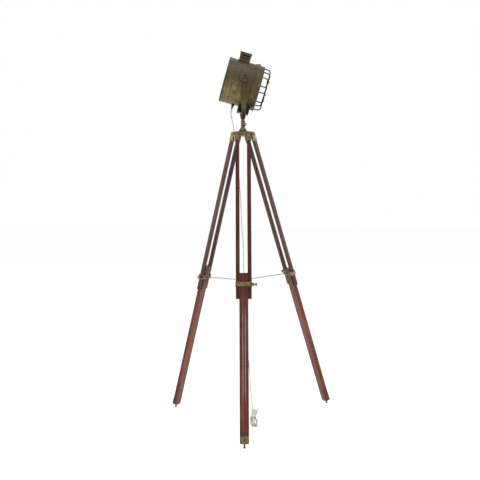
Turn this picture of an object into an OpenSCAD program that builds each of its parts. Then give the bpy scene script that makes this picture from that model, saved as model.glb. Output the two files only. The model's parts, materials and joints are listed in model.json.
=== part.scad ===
// Tripod floor lamp: a drum-shaped searchlight head, held in a fork on a folding wooden tripod.
// Millimetres, +Z up. The lamp points along +X. The origin is on the floor, under the middle of
// the box round the feet. Legs are built along their own axis: local Z runs up the leg, local X
// points outwards and local Y runs along the hinge bolt.

/* [Tripod] */
// Height of the leg hinges above the floor
pivot_z = 1252; // [1150:1:1350]
// Distance of each leg hinge from the centre line
pivot_r = 32.5; // [32:0.5:40]
// Splay of the front leg from vertical, degrees
splay_front = 15; // [12:0.1:20]
// Splay of the left leg from vertical, degrees
splay_left = 14.6; // [12:0.1:20]
// Splay of the right leg from vertical, degrees
splay_right = 19.1; // [12:0.1:22]
// Turn of the tripod under the lamp, degrees
leg_turn = -2; // [-6:1:6]

/* [Hub] */
// Radius of the hub's middle disc
hub_r = 26; // [22:0.5:26]
// Radius round each hinge bolt, half the hub's thickness
lug_r = 10; // [8:0.5:12]
// Radius of the flared foot of the collar
flare_r = 20; // [14:0.5:24]
// Height of the flare
flare_h = 18; // [10:1:24]
// Radius of the collar
collar_r = 9; // [8.5:0.5:11]
// Height of the collar above the hub's top
collar_h = 41; // [34:1:50]
// Radius of the hinge bolts
bolt_r = 4; // [3:0.5:5]
// Azimuth of the pan lock screw, degrees
pan_screw_az = -53; // [-80:1:-20]
// Distance of the pan lock screw below the collar's top
pan_screw_drop = 12; // [8:1:16]

/* [Leg rails] */
// Length of a rail from its hinge to its lower end
rail_len = 709; // [690:1:730]
// Width of a rail along the hinge bolt
rail_w = 14; // [12:0.5:16]
// Depth of a rail from its inner to its outer face
rail_d = 14; // [12:0.5:18]
// Width of the guide tongue on a rail
tongue_w = 5; // [4:0.5:7]
// Height of the guide tongue
tongue_h = 2.3; // [1.5:0.1:3]
// Length of the brass ferrule below the hinge
ferrule_len = 32; // [24:1:40]
// Sheet thickness of the ferrule
ferrule_t = 1.2; // [0.8:0.1:1.6]

/* [Lower bars] */
// Width of a lower bar
bar_w = 36.5; // [34:0.5:40]
// Depth of a lower bar
bar_d = 20; // [18:0.5:24]
// How far the front bar runs up between its rails; the others are as long
bar_up = 106.3; // [90:0.1:130]
// Width of the stopped flute in the outer face
flute_w = 14; // [8:1:18]
// Depth of the flute
flute_depth = 3; // [1:0.5:4]
// Length of the flute
flute_len = 405; // [300:5:430]
// Length over which each end of the flute runs out to a point
flute_tip = 30; // [10:1:60]
// Distance from the flute to the bar's foot
flute_up = 142; // [100:1:180]
// Length of the brass foot plate
plate_len = 28; // [22:1:50]
// Thickness of the foot plate
plate_t = 1.5; // [1:0.1:2.5]
// Length of the spike below the foot plate
spike_len = 16; // [12:1:24]
// Radius of the spike
spike_r = 3.5; // [2.5:0.5:5]

/* [Clamps] */
// Distance of the clamp band's middle above the rails' lower ends
clamp_up = 60; // [50:1:75]
// Height of the clamp band
clamp_h = 19; // [14:1:24]
// Sheet thickness of the clamp band
clamp_t = 1.5; // [1:0.1:2.5]
// Length of the boss that the clamp screw runs in
boss_len = 8.5; // [6:0.5:12]
// Radius of the boss
boss_r = 7; // [5:0.5:9]
// Radius of the clamp screw and of the pan lock screw
screw_r = 2.5; // [2:0.25:3]
// Bare length of screw between boss and knob
screw_neck = 5; // [2:0.5:9]
// Radius of the screw's knob
knob_r = 6.5; // [5:0.5:9]
// Thickness of the screw's knob
knob_t = 7; // [5:0.5:10]

/* [Spreader chains] */
// Distance of the chains' centre ring below the eye on the front clamp
ring_drop = 2; // [0:0.5:8]
// Radius of the centre ring, to the middle of its wire
ring_r = 6; // [5:0.5:8]
// Radius of the centre ring's wire
ring_wire = 1; // [0.8:0.1:1.2]
// Radius of a link's wire
link_wire = 0.7; // [0.5:0.05:0.8]
// Length inside a link
link_in = 8; // [7:0.5:10]
// Width inside a link
link_in_w = 3; // [2.6:0.1:3.6]

/* [Fork] */
// Length of the stem's neck between its flange and the fork
neck_len = 7.7; // [5:0.1:14]
// Half the gap between the fork's arms
fork_half = 103; // [101:0.5:106]
// Thickness of the fork
fork_t = 5; // [4:0.5:7]
// Outer depth of the fork below the tilt axis
fork_depth = 158; // [154:1:164]
// Width of the arms at the top
arm_w = 34; // [28:1:40]
// Width of the fork at its foot
fork_foot_w = 18; // [16:1:24]
// Distance below the tilt axis at which the arms start to narrow
arm_shoulder = 73; // [50:1:90]
// Distance below the tilt axis at which the arms are narrow
arm_waist = 107; // [95:1:125]
// Depth of the recess in the arms' outer faces
recess_depth = 1.5; // [0.5:0.5:2.5]
// Width of the rim round that recess
recess_rim = 3.5; // [2.5:0.5:6]
// Radius of the fork's stem in the collar
stem_r = 6; // [5:0.5:6.5]
// Radius of the stem's flange
flange_r = 10; // [9:0.5:13]

/* [Head] */
// Nose-down tilt of the head at rest, degrees
tilt = 15.5; // [0:0.5:30]
// Outer radius of the drum
drum_r = 95; // [90:0.5:97]
// Sheet thickness of the drum
drum_t = 1.5; // [1:0.1:2]
// Distance of the drum's rear face behind the tilt axis
drum_back = 80; // [70:1:90]
// Distance of the door's seam in front of the tilt axis
seam = 48; // [40:1:56]
// Distance of the drum's front face in front of the tilt axis
drum_front = 75; // [70:1:85]
// Height of the tilt axis above the drum's own axis
pivot_up = 10; // [0:1:20]
// Radius of the big bead
bead_r = 2; // [1:0.5:3]
// Number of fine ribs round the drum
rib_count = 4; // [2:1:5]
// Spacing of the fine ribs
rib_pitch = 8; // [5:1:9]
// Number of rivets in the rear row
rivet_count = 14; // [8:1:24]
// Radius of the trunnion bolts
trunnion_r = 4; // [3:0.5:5]
// Radius of the trunnion bosses
trunnion_boss_r = 13; // [10:0.5:16]
// Radius of the tilt knobs
tilt_knob_r = 18; // [14:0.5:22]
// Thickness of the tilt knobs
tilt_knob_t = 13; // [9:0.5:18]

/* [Vents] */
// Length of the top vent along the drum
top_vent_len = 47; // [36:1:60]
// Half width of the vents across the drum
vent_half = 29; // [20:1:34]
// Height of the top vent above the drum, with its lid
top_vent_h = 33; // [24:1:40]
// Distance of the top vent's middle behind the tilt axis
top_vent_back = 18; // [10:1:24]
// Length of the bottom vent along the drum
low_vent_len = 50; // [40:1:56]
// Depth of the bottom vent below the drum
low_vent_h = 26; // [14:1:27]
// Distance of the bottom vent's front end behind the drum's front face
low_vent_room = 17; // [14:1:24]
// Overhang of the top vent's lid
lid_over = 2; // [1:0.5:4]

/* [Door] */
// Radius of the opening in the door's front lip
window_r = 82; // [74:1:84]
// Thickness of the glass
glass_t = 3; // [2:0.5:4]
// Radius of the guard's wire
guard_wire = 2.5; // [1.5:0.1:3]
// Distance of the guard in front of the drum's front face
guard_out = 28; // [20:1:36]
// Radius of the circle on which the guard's wires stand
guard_r = 88; // [86:0.5:91]
// Radius of the bends in the guard's wires
guard_bend = 13; // [8:0.5:18]
// Height of the upper guard nut above the drum's axis
guard_nut_high = 38; // [25:1:60]
// Distance of the lower guard nut below the drum's axis
guard_nut_low = 16; // [16:1:40]
// Radius of the door hinge's knuckles
knuckle_r = 2.5; // [2.2:0.1:3]
// Radius of the door hinge's pin
pin_r = 1.2; // [0.8:0.1:1.5]

/* [Lamp inside] */
// Radius of the lampholder
holder_r = 19; // [17:0.5:21]
// Length of the lampholder
holder_len = 44; // [36:1:50]
// Distance of the lampholder's mouth behind the tilt axis
holder_back = 22; // [15:1:30]
// Radius of the bulb's screw cap
cap_r = 13.2; // [12:0.1:13.5]
// Radius of the bulb's globe
globe_r = 30; // [25:0.5:34]
// Focal length of the reflector
focal = 23; // [20:1:28]

/* [Cord] */
// Diameter of the cord
cord_d = 4; // [3:0.5:4.5]
// Distance of the cord gland behind the tilt axis
gland_back = 16; // [10:1:22]
// Length of the gland outside the drum
gland_len = 20; // [20:1:30]
// Number of turns in the hank
hank_turns = 2.5; // [2.5:1:5.5]
// Straight length of the hank's runs
hank_run = 84; // [50:1:90]
// Radius of the hank's end bends, to the middle of the cord
hank_bend = 12; // [10:0.5:14]
// Length of the plug's body
plug_len = 34; // [28:1:42]
// Width of the plug's body
plug_w = 25; // [20:1:30]
// Thickness of the plug's body
plug_t = 17; // [14:1:22]
// Length of the plug's pins
pin_len = 19; // [17:0.5:20]
// Distance between the plug's pins
pin_gap = 19; // [17:0.5:20]
// How far the pins' end of the plug is raised, degrees
plug_lean = 28; // [15:1:35]
// Turn of the plug in plan, degrees
plug_turn = -18; // [-30:1:0]

/* [Fits] */
// Radial clearance of a shaft that turns in its hole
run_fit = 0.05; // [0.02:0.01:0.08]
// Clearance of a face that slides
slide_fit = 0.25; // [0.2:0.05:0.4]
// Clearance at a seat that only rests
seat_gap = 0.3; // [0.2:0.05:0.4]

/* [Hidden] */
$fn = 64;

FRONT = 0;
LEFT = 1;
RIGHT = 2;
azimuths = [-90 + leg_turn, 150 + leg_turn, 30 + leg_turn];
splays = [splay_front, splay_left, splay_right];

// Directions of a leg in plan: outwards, and along its hinge bolt
function out_dir(i) = [cos(azimuths[i]), sin(azimuths[i])];
function bolt_dir(i) = [-sin(azimuths[i]), cos(azimuths[i])];
// Length of a leg from its hinge to the floor
function leg_len(i) = pivot_z / cos(splays[i]);
// Plan position of a foot's tip
function tip(i) = out_dir(i) * (pivot_r + pivot_z * tan(splays[i]));
// How far a foot reaches along the plan direction e
function foot_reach(i, e) = tip(i) * e + bar_w / 2 * abs(bolt_dir(i) * e)
    + (out_dir(i) * e) * (bar_d / 2 * cos(splays[i]) - spike_len * sin(splays[i]));
middle_x = (max([for (i = [0:2]) foot_reach(i, [1, 0])])
    - max([for (i = [0:2]) foot_reach(i, [-1, 0])])) / 2;
middle_y = (max([for (i = [0:2]) foot_reach(i, [0, 1])])
    - max([for (i = [0:2]) foot_reach(i, [0, -1])])) / 2;

hub_top = pivot_z + lug_r;
collar_top = hub_top + collar_h;
bore_depth = collar_h - seat_gap;
pan_screw_z = collar_top - pan_screw_drop;
rail_gap = bar_w + 2 * slide_fit;
flute_r = (flute_w * flute_w / 4 + flute_depth * flute_depth) / (2 * flute_depth);
leg_w = rail_gap + 2 * rail_w;
lug_w = rail_gap - 2 * ferrule_t - 2 * seat_gap;
nut_h = 5;
nut_r = bolt_r * 1.6;
tongue_top = ferrule_len + 4;
bar_end = function (i) leg_len(i) - spike_len - plate_t;
bar_len = bar_end(FRONT) - rail_len + bar_up;
clamp_at = rail_len - clamp_up;

band_in_d = bar_d + 2 * slide_fit;
band_in_w = leg_w + 2 * seat_gap;
band_face = band_in_d / 2 + clamp_t;
eye_r = 3;
eye_wire = 0.8;
eye_at = band_face + eye_r;
link_play = 0.2;
chain_at = eye_at + eye_r - eye_wire - link_wire - link_play;
ring_play = 1.2;
ring_z = chain_start(FRONT)[2] - ring_drop;

stem_neck_r = 7.5;
tenon_r = 5;
flange_t = 4;
fork_z = collar_top + seat_gap + flange_t + neck_len;
tilt_z = fork_z + fork_depth;
arc_z = fork_z + fork_t + fork_half;
stem_nut_h = 6;
stem_nut_r = tenon_r * 1.7;
// Height of the fork's curved seat where the nut's corners meet it
stem_nut_z = fork_z + fork_t + fork_half - sqrt(fork_half * fork_half - stem_nut_r * stem_nut_r);

drum_in = drum_r - drum_t;
lip_r = drum_r - 3;
lip_len = 9;
trim_w = 3;
trim_r = drum_r + 2;
skirt_gap = 1.3;
trunnion_face = fork_half - seat_gap;
rib_r = 0.8;
rib_in = drum_r - 0.2;
bead_back = top_vent_back + top_vent_len / 2 + bead_r + seat_gap;
cover_t = 1.5;
cover_skirt = 7;
rivet_r = 2;
vent_wall = 1.5;
lid_t = 3;
slot_h = 5;
vent_seat = rib_in + rib_r + run_fit;
low_vent_fwd = drum_front - low_vent_room - low_vent_len / 2;
low_vent_rear = low_vent_fwd - low_vent_len / 2;
knuckle_at = seam + 2.5;
knuckle_up = drum_r + 4;
glass_r = drum_in - 3.5;
lip_t = 1.5;
rim_at = seam - trim_w - 1.5;
gland_r = 6;
hole_r = 4.5;
reflector_at = rim_at - (drum_in - 7) * (drum_in - 7) / (4 * focal);

// Route of the cord from the gland to the height of the collar, free in the air
gland_reach = pivot_up + drum_r + gland_len + seat_gap;
gland_tip = [
    -gland_back * cos(tilt) - gland_reach * sin(tilt),
    0,
    tilt_z + gland_back * sin(tilt) - gland_reach * cos(tilt)
];
upper_route = [
    gland_tip, [-51, -1, 1347], [-51.5, -3, 1336], [-50, -6, 1323], [-47, -9, 1310], [-44, -11, 1298]
];
// Route of the cord from there, through the hub's notch, down inside the legs to the floor
drop_route = [
    [-43.95, -11.1, 1297.6], [-42, -14, 1285], [-40, -17, 1270], [-38.3, -19.8, 1252], [-36.5, -20, 1235],
    [-33, -18.5, 1210], [-27, -17, 1160], [-20, -16, 1090], [-14, -14, 1020], [-10, -13, 950],
    [-7, -13, 880], [-4.5, -13, 835], [0, -13, 800], [1.5, -13.5, 760], [2, -14, 710],
    [4, -14.5, 660], [8, -15, 615], [10, -15.5, 560], [12.5, -16, 500], [15.5, -17, 430],
    [18.5, -17.5, 350], [22, -17.5, 280], [27.5, -18, 235], [30.5, -19, 195], [31.8, -20, 160],
    [34.5, -20, 125], [37.8, -19, 95], [40, -17, 70], [40, -15.8, 50], [39.2, -16.5, 34],
    [38, -19.5, 20], [37, -27, 8], [36.4, -37, 3], [36.3, -48, 2.05], [36.3, -62, 2.05],
    [36.3, -79, 2.05]
];
// Middle of the hank, which lies on the floor with its runs along Y
hank_x = 32 + hank_bend;
hank_y = -22 - hank_run / 2;
hank_h = hank_turns * cord_d + cord_d;
boot_len = 20;
boot_r = 3.6;
// The plug rests on its boot, and its last stretch of cord bends down onto the hank
tail_z = hank_h + cord_d / 2 + 0.1;
tail_bend = 18;
plug_half = plug_len / 2 + boot_len;
plug_at = [
    hank_x + 5,
    hank_y + hank_run / 2 - 18,
    tail_z + tail_bend * (1 - cos(plug_lean)) + plug_half * sin(plug_lean)
];
tail_way = [sin(plug_turn) * cos(plug_lean), -cos(plug_turn) * cos(plug_lean), -sin(plug_lean)];
plug_cord_end = plug_at + plug_half * tail_way;
tail_start = [hank_x - hank_bend, hank_y - hank_run / 2 + 2, tail_z];
function tail_point(along, up) = [
    plug_cord_end[0] + along * sin(plug_turn), plug_cord_end[1] - along * cos(plug_turn), tail_z + up];
tail_route = [
    tail_start,
    tail_start + [0, 7, 0],
    tail_point(17.3, 0),
    tail_point(tail_bend * sin(plug_lean), 0),
    tail_point(tail_bend * sin(plug_lean) / 2, 0.6),
    plug_cord_end + seat_gap * tail_way
];
tie_y = plug_cord_end[1] - 11;
tie_top = hank_h + cord_d + 2 * seat_gap;

// ---- helpers ----

// Everything is drawn about the hub's axis, then moved so that the origin is under the middle
module place() {
    translate([-middle_x, -middle_y, 0]) children();
}

// Leg frame: origin at the hinge, local Z up the leg, X outwards, Y along the bolt
module on_leg(i) {
    place() rotate([0, 0, azimuths[i]])
        translate([pivot_r, 0, pivot_z])
            rotate([0, -splays[i], 0]) children();
}

// Head frame: origin on the tilt axis, X forwards along the drum, Z up
module on_head() {
    place() translate([0, 0, tilt_z]) rotate([0, tilt, 0]) children();
}

// Drum frame: the drum's axis, with local Z forwards and local X down
module on_drum() {
    on_head() translate([0, 0, -pivot_up]) rotate([0, 90, 0]) children();
}

// A cylinder along Y from y0 to y1
module rod_y(r, y0, y1) {
    translate([0, y0, 0]) rotate([-90, 0, 0]) cylinder(r = r, h = y1 - y0);
}

// A turned body from points [radius, height]
module turned(points) {
    rotate_extrude() polygon(points);
}

// A ring of round wire about Z
module wire_ring(ring, wire) {
    rotate_extrude() translate([ring, 0]) circle(r = wire);
}

// A hexagonal prism about Z
module hex(r, h) {
    cylinder(r = r, h = h, $fn = 6);
}

// Points on a smooth curve through the route, four to each of its stretches
function spline_point(a, b, c, d, t) = 0.5 * (
    2 * b + (c - a) * t + (2 * a - 5 * b + 4 * c - d) * t * t + (3 * b - a - 3 * c + d) * t * t * t);
function smooth(route, steps) = let (n = len(route) - 1) concat(
    [for (i = [0:n - 1], k = [0:steps - 1]) spline_point(
        route[max(i - 1, 0)], route[i], route[i + 1], route[min(i + 2, n)], k / steps)],
    [route[n]]);
function unit(v) = v / norm(v);
function heading(path, i) = unit(path[min(i + 1, len(path) - 1)] - path[max(i - 1, 0)]);

// A round tube swept along a path that never runs along X
module tube(path, r, sides = 8) {
    count = len(path);
    points = [for (i = [0:count - 1]) let (
            along = heading(path, i),
            side = unit(cross(along, [1, 0, 0])),
            up = cross(along, side)
        ) for (k = [0:sides - 1]) path[i] + r * (cos(360 * k / sides) * side + sin(360 * k / sides) * up)];
    walls = [for (i = [0:count - 2], k = [0:sides - 1]) let (m = (k + 1) % sides)
        [i * sides + k, i * sides + m, (i + 1) * sides + m, (i + 1) * sides + k]];
    start = [for (k = [sides - 1:-1:0]) k];
    end = [for (k = [0:sides - 1]) (count - 1) * sides + k];
    polyhedron(points = points, faces = concat(walls, [start, end]), convexity = 10);
}

// ---- hub ----

module hub_casting() {
    color("#857c52") difference() {
        union() {
            place() translate([0, 0, pivot_z]) turned([
                [0, -lug_r], [hub_r, -lug_r], [hub_r, lug_r], [flare_r, lug_r],
                [collar_r, lug_r + flare_h], [collar_r, lug_r + collar_h], [0, lug_r + collar_h]
            ]);
            for (i = [FRONT, LEFT, RIGHT])
                place() rotate([0, 0, azimuths[i]]) translate([0, 0, pivot_z]) {
                    translate([0, -lug_w / 2, -lug_r]) cube([pivot_r, lug_w, 2 * lug_r]);
                    translate([pivot_r, 0, 0]) rod_y(lug_r, -lug_w / 2, lug_w / 2);
                }
        }
        place() translate([0, 0, collar_top - bore_depth])
            cylinder(r = stem_r + run_fit, h = bore_depth + 1);
        place() rotate([0, 0, pan_screw_az]) translate([0, 0, pan_screw_z])
            rotate([0, 90, 0]) cylinder(r = screw_r + run_fit, h = collar_r + 5);
        for (i = [FRONT, LEFT, RIGHT])
            place() rotate([0, 0, azimuths[i]]) translate([pivot_r, 0, pivot_z])
                rod_y(bolt_r, -lug_w, lug_w);
    }
}

module hinge_bolts() {
    color("#8a7a45") for (i = [FRONT, LEFT, RIGHT])
        place() rotate([0, 0, azimuths[i]]) translate([pivot_r, 0, pivot_z]) {
            rod_y(bolt_r, -leg_w / 2 - ferrule_t - seat_gap - nut_h - 1, leg_w / 2 + ferrule_t + seat_gap);
            translate([0, leg_w / 2 + ferrule_t + seat_gap, 0]) rotate([-90, 0, 0]) hex(nut_r, nut_h);
        }
}

module hinge_nuts() {
    color("#8a7a45") for (i = [FRONT, LEFT, RIGHT])
        place() rotate([0, 0, azimuths[i]])
            translate([pivot_r, -leg_w / 2 - ferrule_t - seat_gap, pivot_z])
                rotate([90, 0, 0]) difference() {
                    hex(nut_r, nut_h);
                    translate([0, 0, -1]) cylinder(r = bolt_r, h = nut_h + 2);
                }
}

// A thumbscrew along Z: shaft from z0, bare neck to z1, then a knob with a waist
module thumbscrew(z0, z1) {
    turned([
        [0, z0], [screw_r, z0], [screw_r, z1], [knob_r * 0.6, z1], [knob_r, z1 + knob_t * 0.25],
        [knob_r, z1 + knob_t * 0.75], [knob_r * 0.75, z1 + knob_t], [0, z1 + knob_t]
    ]);
}

module pan_screw() {
    color("#b0904a") place() rotate([0, 0, pan_screw_az]) translate([0, 0, pan_screw_z])
        rotate([0, 90, 0]) thumbscrew(stem_r + seat_gap, collar_r + 2);
}

// ---- legs ----

module rails(i) {
    color("#5a3524") on_leg(i) for (side = [-1, 1]) difference() {
        union() {
            translate([0, side * (rail_gap + rail_w) / 2, 0]) {
                translate([-rail_d / 2, -rail_w / 2, -rail_len]) cube([rail_d, rail_w, rail_len]);
                rod_y(rail_d / 2, -rail_w / 2, rail_w / 2);
            }
            translate([-tongue_w / 2, side * (rail_gap / 2 - tongue_h / 2) - (tongue_h + 0.02) / 2, -rail_len])
                cube([tongue_w, tongue_h + 0.02, rail_len - tongue_top]);
        }
        rod_y(bolt_r + run_fit, -leg_w, leg_w);
    }
}

module ferrules(i) {
    color("#8c8350") on_leg(i) for (side = [-1, 1])
        translate([0, side * (rail_gap + rail_w) / 2, 0]) difference() {
            union() {
                translate([-rail_d / 2 - ferrule_t, -rail_w / 2 - ferrule_t, -ferrule_len])
                    cube([rail_d + 2 * ferrule_t, rail_w + 2 * ferrule_t, ferrule_len]);
                rod_y(rail_d / 2 + ferrule_t, -rail_w / 2 - ferrule_t, rail_w / 2 + ferrule_t);
            }
            translate([-rail_d / 2, -rail_w / 2, -ferrule_len - 1]) cube([rail_d, rail_w, ferrule_len + 1]);
            rod_y(rail_d / 2, -rail_w / 2, rail_w / 2);
            rod_y(bolt_r + run_fit, -rail_w, rail_w);
        }
}

module clamp(i) {
    color("#8c8350") on_leg(i) translate([0, 0, -clamp_at]) difference() {
        union() {
            translate([-band_face, -band_in_w / 2 - clamp_t, -clamp_h / 2])
                cube([2 * band_face, band_in_w + 2 * clamp_t, clamp_h]);
            rod_y(boss_r, band_in_w / 2, band_in_w / 2 + clamp_t + boss_len);
            translate([-eye_at, 0, 0]) rotate([90, 0, 0]) wire_ring(eye_r, eye_wire);
        }
        translate([-band_in_d / 2, -band_in_w / 2, -clamp_h]) cube([band_in_d, band_in_w, 2 * clamp_h]);
        rod_y(screw_r + run_fit, 0, leg_w + boss_len + 10);
    }
}

module clamp_screw(i) {
    color("#b0904a") on_leg(i) translate([0, 0, -clamp_at]) rotate([-90, 0, 0])
        thumbscrew(leg_w / 2 + seat_gap / 2, band_in_w / 2 + clamp_t + boss_len + screw_neck);
}

module lower_bar(i) {
    color("#6b4030") on_leg(i) translate([0, 0, -bar_end(i)]) difference() {
        translate([-bar_d / 2, -bar_w / 2, 0]) cube([bar_d, bar_w, bar_len]);
        for (side = [-1, 1])
            translate([-tongue_w / 2 - slide_fit, side * bar_w / 2 - tongue_h, -1])
                cube([tongue_w + 2 * slide_fit, 2 * tongue_h, bar_len + 2]);
        translate([bar_d / 2 - flute_depth + flute_r, 0, flute_up]) turned([
            [0, 0], [flute_r - flute_depth, 0], [flute_r, flute_tip],
            [flute_r, flute_len - flute_tip], [flute_r - flute_depth, flute_len], [0, flute_len]
        ]);
        translate([0, 0, -1]) cylinder(r = spike_r, h = 13);
    }
}

// An L-shaped brass plate: up the outer face and under the end of the bar
module foot_plate(i) {
    color("#857c52") on_leg(i) translate([0, 0, -bar_end(i)]) difference() {
        union() {
            translate([bar_d / 2, 0, 0]) rotate([90, 0, 90]) linear_extrude(plate_t) union() {
                translate([-bar_w / 2, 4]) square([bar_w, plate_len - 4]);
                translate([-bar_w / 2 + 4, -plate_t]) square([bar_w - 8, 5 + plate_t]);
                for (side = [-1, 1])
                    translate([side * (bar_w / 2 - 4), 4]) circle(r = 4);
            }
            translate([-bar_d / 2, -bar_w / 2 + 4, -plate_t]) cube([bar_d + 0.5, bar_w - 8, plate_t]);
            for (at = [[0, 9], [-bar_w / 3, plate_len - 7], [bar_w / 3, plate_len - 7]])
                translate([bar_d / 2 + plate_t, at[0], at[1]]) rotate([0, 90, 0])
                    turned([[0, 0], [2, 0], [1.4, 0.8], [0, 1.1]]);
        }
        translate([0, 0, -plate_t - 1]) cylinder(r = spike_r, h = plate_t + 2);
    }
}

module spike(i) {
    color("#5a5040") difference() {
        on_leg(i) translate([0, 0, -leg_len(i)]) turned([
            [0, -3], [spike_r + 0.7, -3], [spike_r + 0.7, 5], [spike_r - 0.8, 7],
            [spike_r, spike_len], [spike_r, spike_len + plate_t + 11], [0, spike_len + plate_t + 11]
        ]);
        place() translate([-2 * norm(tip(i)), -2 * norm(tip(i)), -2 * spike_len])
            cube([4 * norm(tip(i)), 4 * norm(tip(i)), 2 * spike_len]);
    }
}

// ---- spreader chains ----

// Where a chain hangs from its clamp's eye, about the hub's axis
function chain_start(i) = let (
        r = pivot_r + clamp_at * sin(splays[i]) - chain_at * cos(splays[i]),
        z = pivot_z - clamp_at * cos(splays[i]) - chain_at * sin(splays[i])
    ) [r * out_dir(i)[0], r * out_dir(i)[1], z];
// Where it ends beside the ring
function chain_end(i) = [ring_r * out_dir(i)[0], ring_r * out_dir(i)[1], ring_z];

// One oval link of round wire along X, its first end's wire on the origin
module link() {
    bend = link_in_w / 2 + link_wire;
    span = link_in + 2 * link_wire - 2 * bend;
    translate([bend - link_wire, 0, 0]) {
        for (side = [-1, 1])
            translate([0, side * bend, 0]) rotate([0, 90, 0]) cylinder(r = link_wire, h = span, $fn = 24);
        rotate([0, 0, 90]) rotate_extrude(angle = 180, $fn = 32)
            translate([bend, 0]) circle(r = link_wire, $fn = 24);
        translate([span, 0, 0]) rotate([0, 0, -90]) rotate_extrude(angle = 180, $fn = 32)
            translate([bend, 0]) circle(r = link_wire, $fn = 24);
    }
}

// Alternate links, stretched a little less than tight between the eye and the ring
module chain(i, end_room) {
    from = chain_start(i);
    way = chain_end(i) - from;
    room = norm(way) - end_room - link_in;
    count = ceil(room / (link_in - link_play)) + 1;
    pitch = room / (count - 1);
    place() translate(from)
        rotate([0, -atan2(way[2], norm([way[0], way[1]])), atan2(way[1], way[0])])
            for (k = [0:count - 1])
                translate([k * pitch, 0, 0]) rotate([90 * (k % 2), 0, 0]) link();
}

// The front chain carries the ring that the other two end beside
module chain_front() {
    color("#8c8350") {
        chain(FRONT, -ring_wire - link_play);
        place() translate([0, 0, ring_z]) wire_ring(ring_r, ring_wire);
    }
}

module side_chain(i) {
    color("#8c8350") chain(i, ring_wire + ring_play + link_wire);
}

// ---- fork ----

// The fork's side view below its round tops, cut back by an inset: wide arms, a narrow foot
module fork_side(inset = 0) {
    half = arm_w / 2 - inset;
    foot = fork_foot_w / 2 - inset;
    polygon([
        [-half, 0], [half, 0], [half, -arm_shoulder], [foot, -arm_waist], [foot, -fork_depth - 1],
        [-foot, -fork_depth - 1], [-foot, -arm_waist], [-half, -arm_shoulder]
    ]);
}

// The fork's side view, stretched across the fork's whole width
module fork_side_bar(inset = 0) {
    translate([0, 2 * fork_half, 0]) rotate([90, 0, 0]) linear_extrude(4 * fork_half) fork_side(inset);
}

module fork() {
    outer = fork_half + fork_t;
    straight = tilt_z - arc_z;
    color("#6b6240") place() translate([0, 0, tilt_z]) difference() {
        union() {
            for (side = [-1, 1]) translate([0, side * (fork_half + fork_t / 2), 0]) {
                rod_y(arm_w / 2, -fork_t / 2, fork_t / 2);
                translate([-arm_w / 2, -fork_t / 2, -straight]) cube([arm_w, fork_t, straight]);
            }
            intersection() {
                difference() {
                    translate([-arm_w, 0, -straight]) rotate([0, 90, 0]) cylinder(r = outer, h = 2 * arm_w);
                    translate([-arm_w - 1, 0, -straight]) rotate([0, 90, 0])
                        cylinder(r = fork_half, h = 2 * arm_w + 2);
                    translate([-arm_w - 1, -outer - 1, -straight]) cube([2 * arm_w + 2, 2 * outer + 2, outer + 1]);
                }
                fork_side_bar();
            }
        }
        intersection() {
            for (side = [-1, 1])
                translate([-arm_w, side * (outer + 5 - recess_depth) - 5, -arm_waist + 8])
                    cube([2 * arm_w, 10, arm_waist - 8 - tilt_knob_r - 2]);
            fork_side_bar(recess_rim);
        }
        rod_y(trunnion_r + run_fit, -2 * fork_half, 2 * fork_half);
        translate([0, 0, -fork_depth - 1]) cylinder(r = tenon_r, h = fork_t + 2);
    }
}

module fork_stem() {
    stem_end = collar_top - bore_depth + seat_gap;
    color("#857c52") place() turned([
        [0, stem_end], [stem_r, stem_end], [stem_r, collar_top + seat_gap],
        [flange_r, collar_top + seat_gap], [flange_r, collar_top + seat_gap + flange_t],
        [stem_neck_r, collar_top + seat_gap + flange_t], [stem_neck_r, fork_z], [tenon_r, fork_z],
        [tenon_r, stem_nut_z + stem_nut_h + 1], [0, stem_nut_z + stem_nut_h + 1]
    ]);
}

module stem_nut() {
    color("#8a7a45") place() translate([0, 0, stem_nut_z]) difference() {
        hex(stem_nut_r, stem_nut_h);
        translate([0, 0, -1]) cylinder(r = tenon_r, h = stem_nut_h + 2);
    }
}

// ---- head ----

// Opening under a vent, through the drum's wall; side is -1 above and 1 below
module vent_opening(middle, long, side) {
    translate([side * drum_r, 0, middle])
        cube([30, 2 * vent_half - 14, long - 12], center = true);
}

module drum_shell() {
    color("#73693f") difference() {
        union() {
            on_drum() difference() {
                union() {
                    turned([
                        [drum_in, -drum_back + cover_t], [drum_r, -drum_back + cover_t], [drum_r, seam - trim_w],
                        [trim_r, seam - trim_w], [trim_r, seam], [lip_r, seam], [lip_r, seam + lip_len],
                        [lip_r - drum_t, seam + lip_len], [lip_r - drum_t, seam - drum_t],
                        [drum_in, seam - drum_t]
                    ]);
                    translate([0, 0, -bead_back]) wire_ring(drum_r - 0.3, bead_r);
                    for (k = [0:rib_count - 1])
                        translate([0, 0, rib_pitch * (k + 1)]) wire_ring(rib_in, rib_r);
                }
                translate([0, 0, -drum_back]) cylinder(r = drum_in, h = drum_back + seam - drum_t);
            }
            difference() {
                on_head() rod_y(trunnion_boss_r, -trunnion_face, trunnion_face);
                on_drum() translate([0, 0, -drum_back]) cylinder(r = drum_in, h = drum_back + seam);
            }
        }
        on_head() rod_y(trunnion_r, -fork_half, fork_half);
        on_drum() {
            vent_opening(-top_vent_back, top_vent_len, -1);
            vent_opening((low_vent_rear + seam - trim_w) / 2, seam - trim_w - low_vent_rear, 1);
            translate([drum_r, 0, -gland_back]) rotate([0, 90, 0]) cylinder(r = hole_r, h = 20, center = true);
        }
    }
}

// A pressed cap over the drum's rear end
module rear_cover() {
    color("#4f4a35") on_drum() translate([0, 0, -drum_back]) turned([
        [0, 0], [drum_r - 1, 0], [drum_r + cover_t, 1.5], [drum_r + cover_t, cover_skirt],
        [drum_r, cover_skirt], [drum_r, cover_t], [0, cover_t]
    ]);
}

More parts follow.
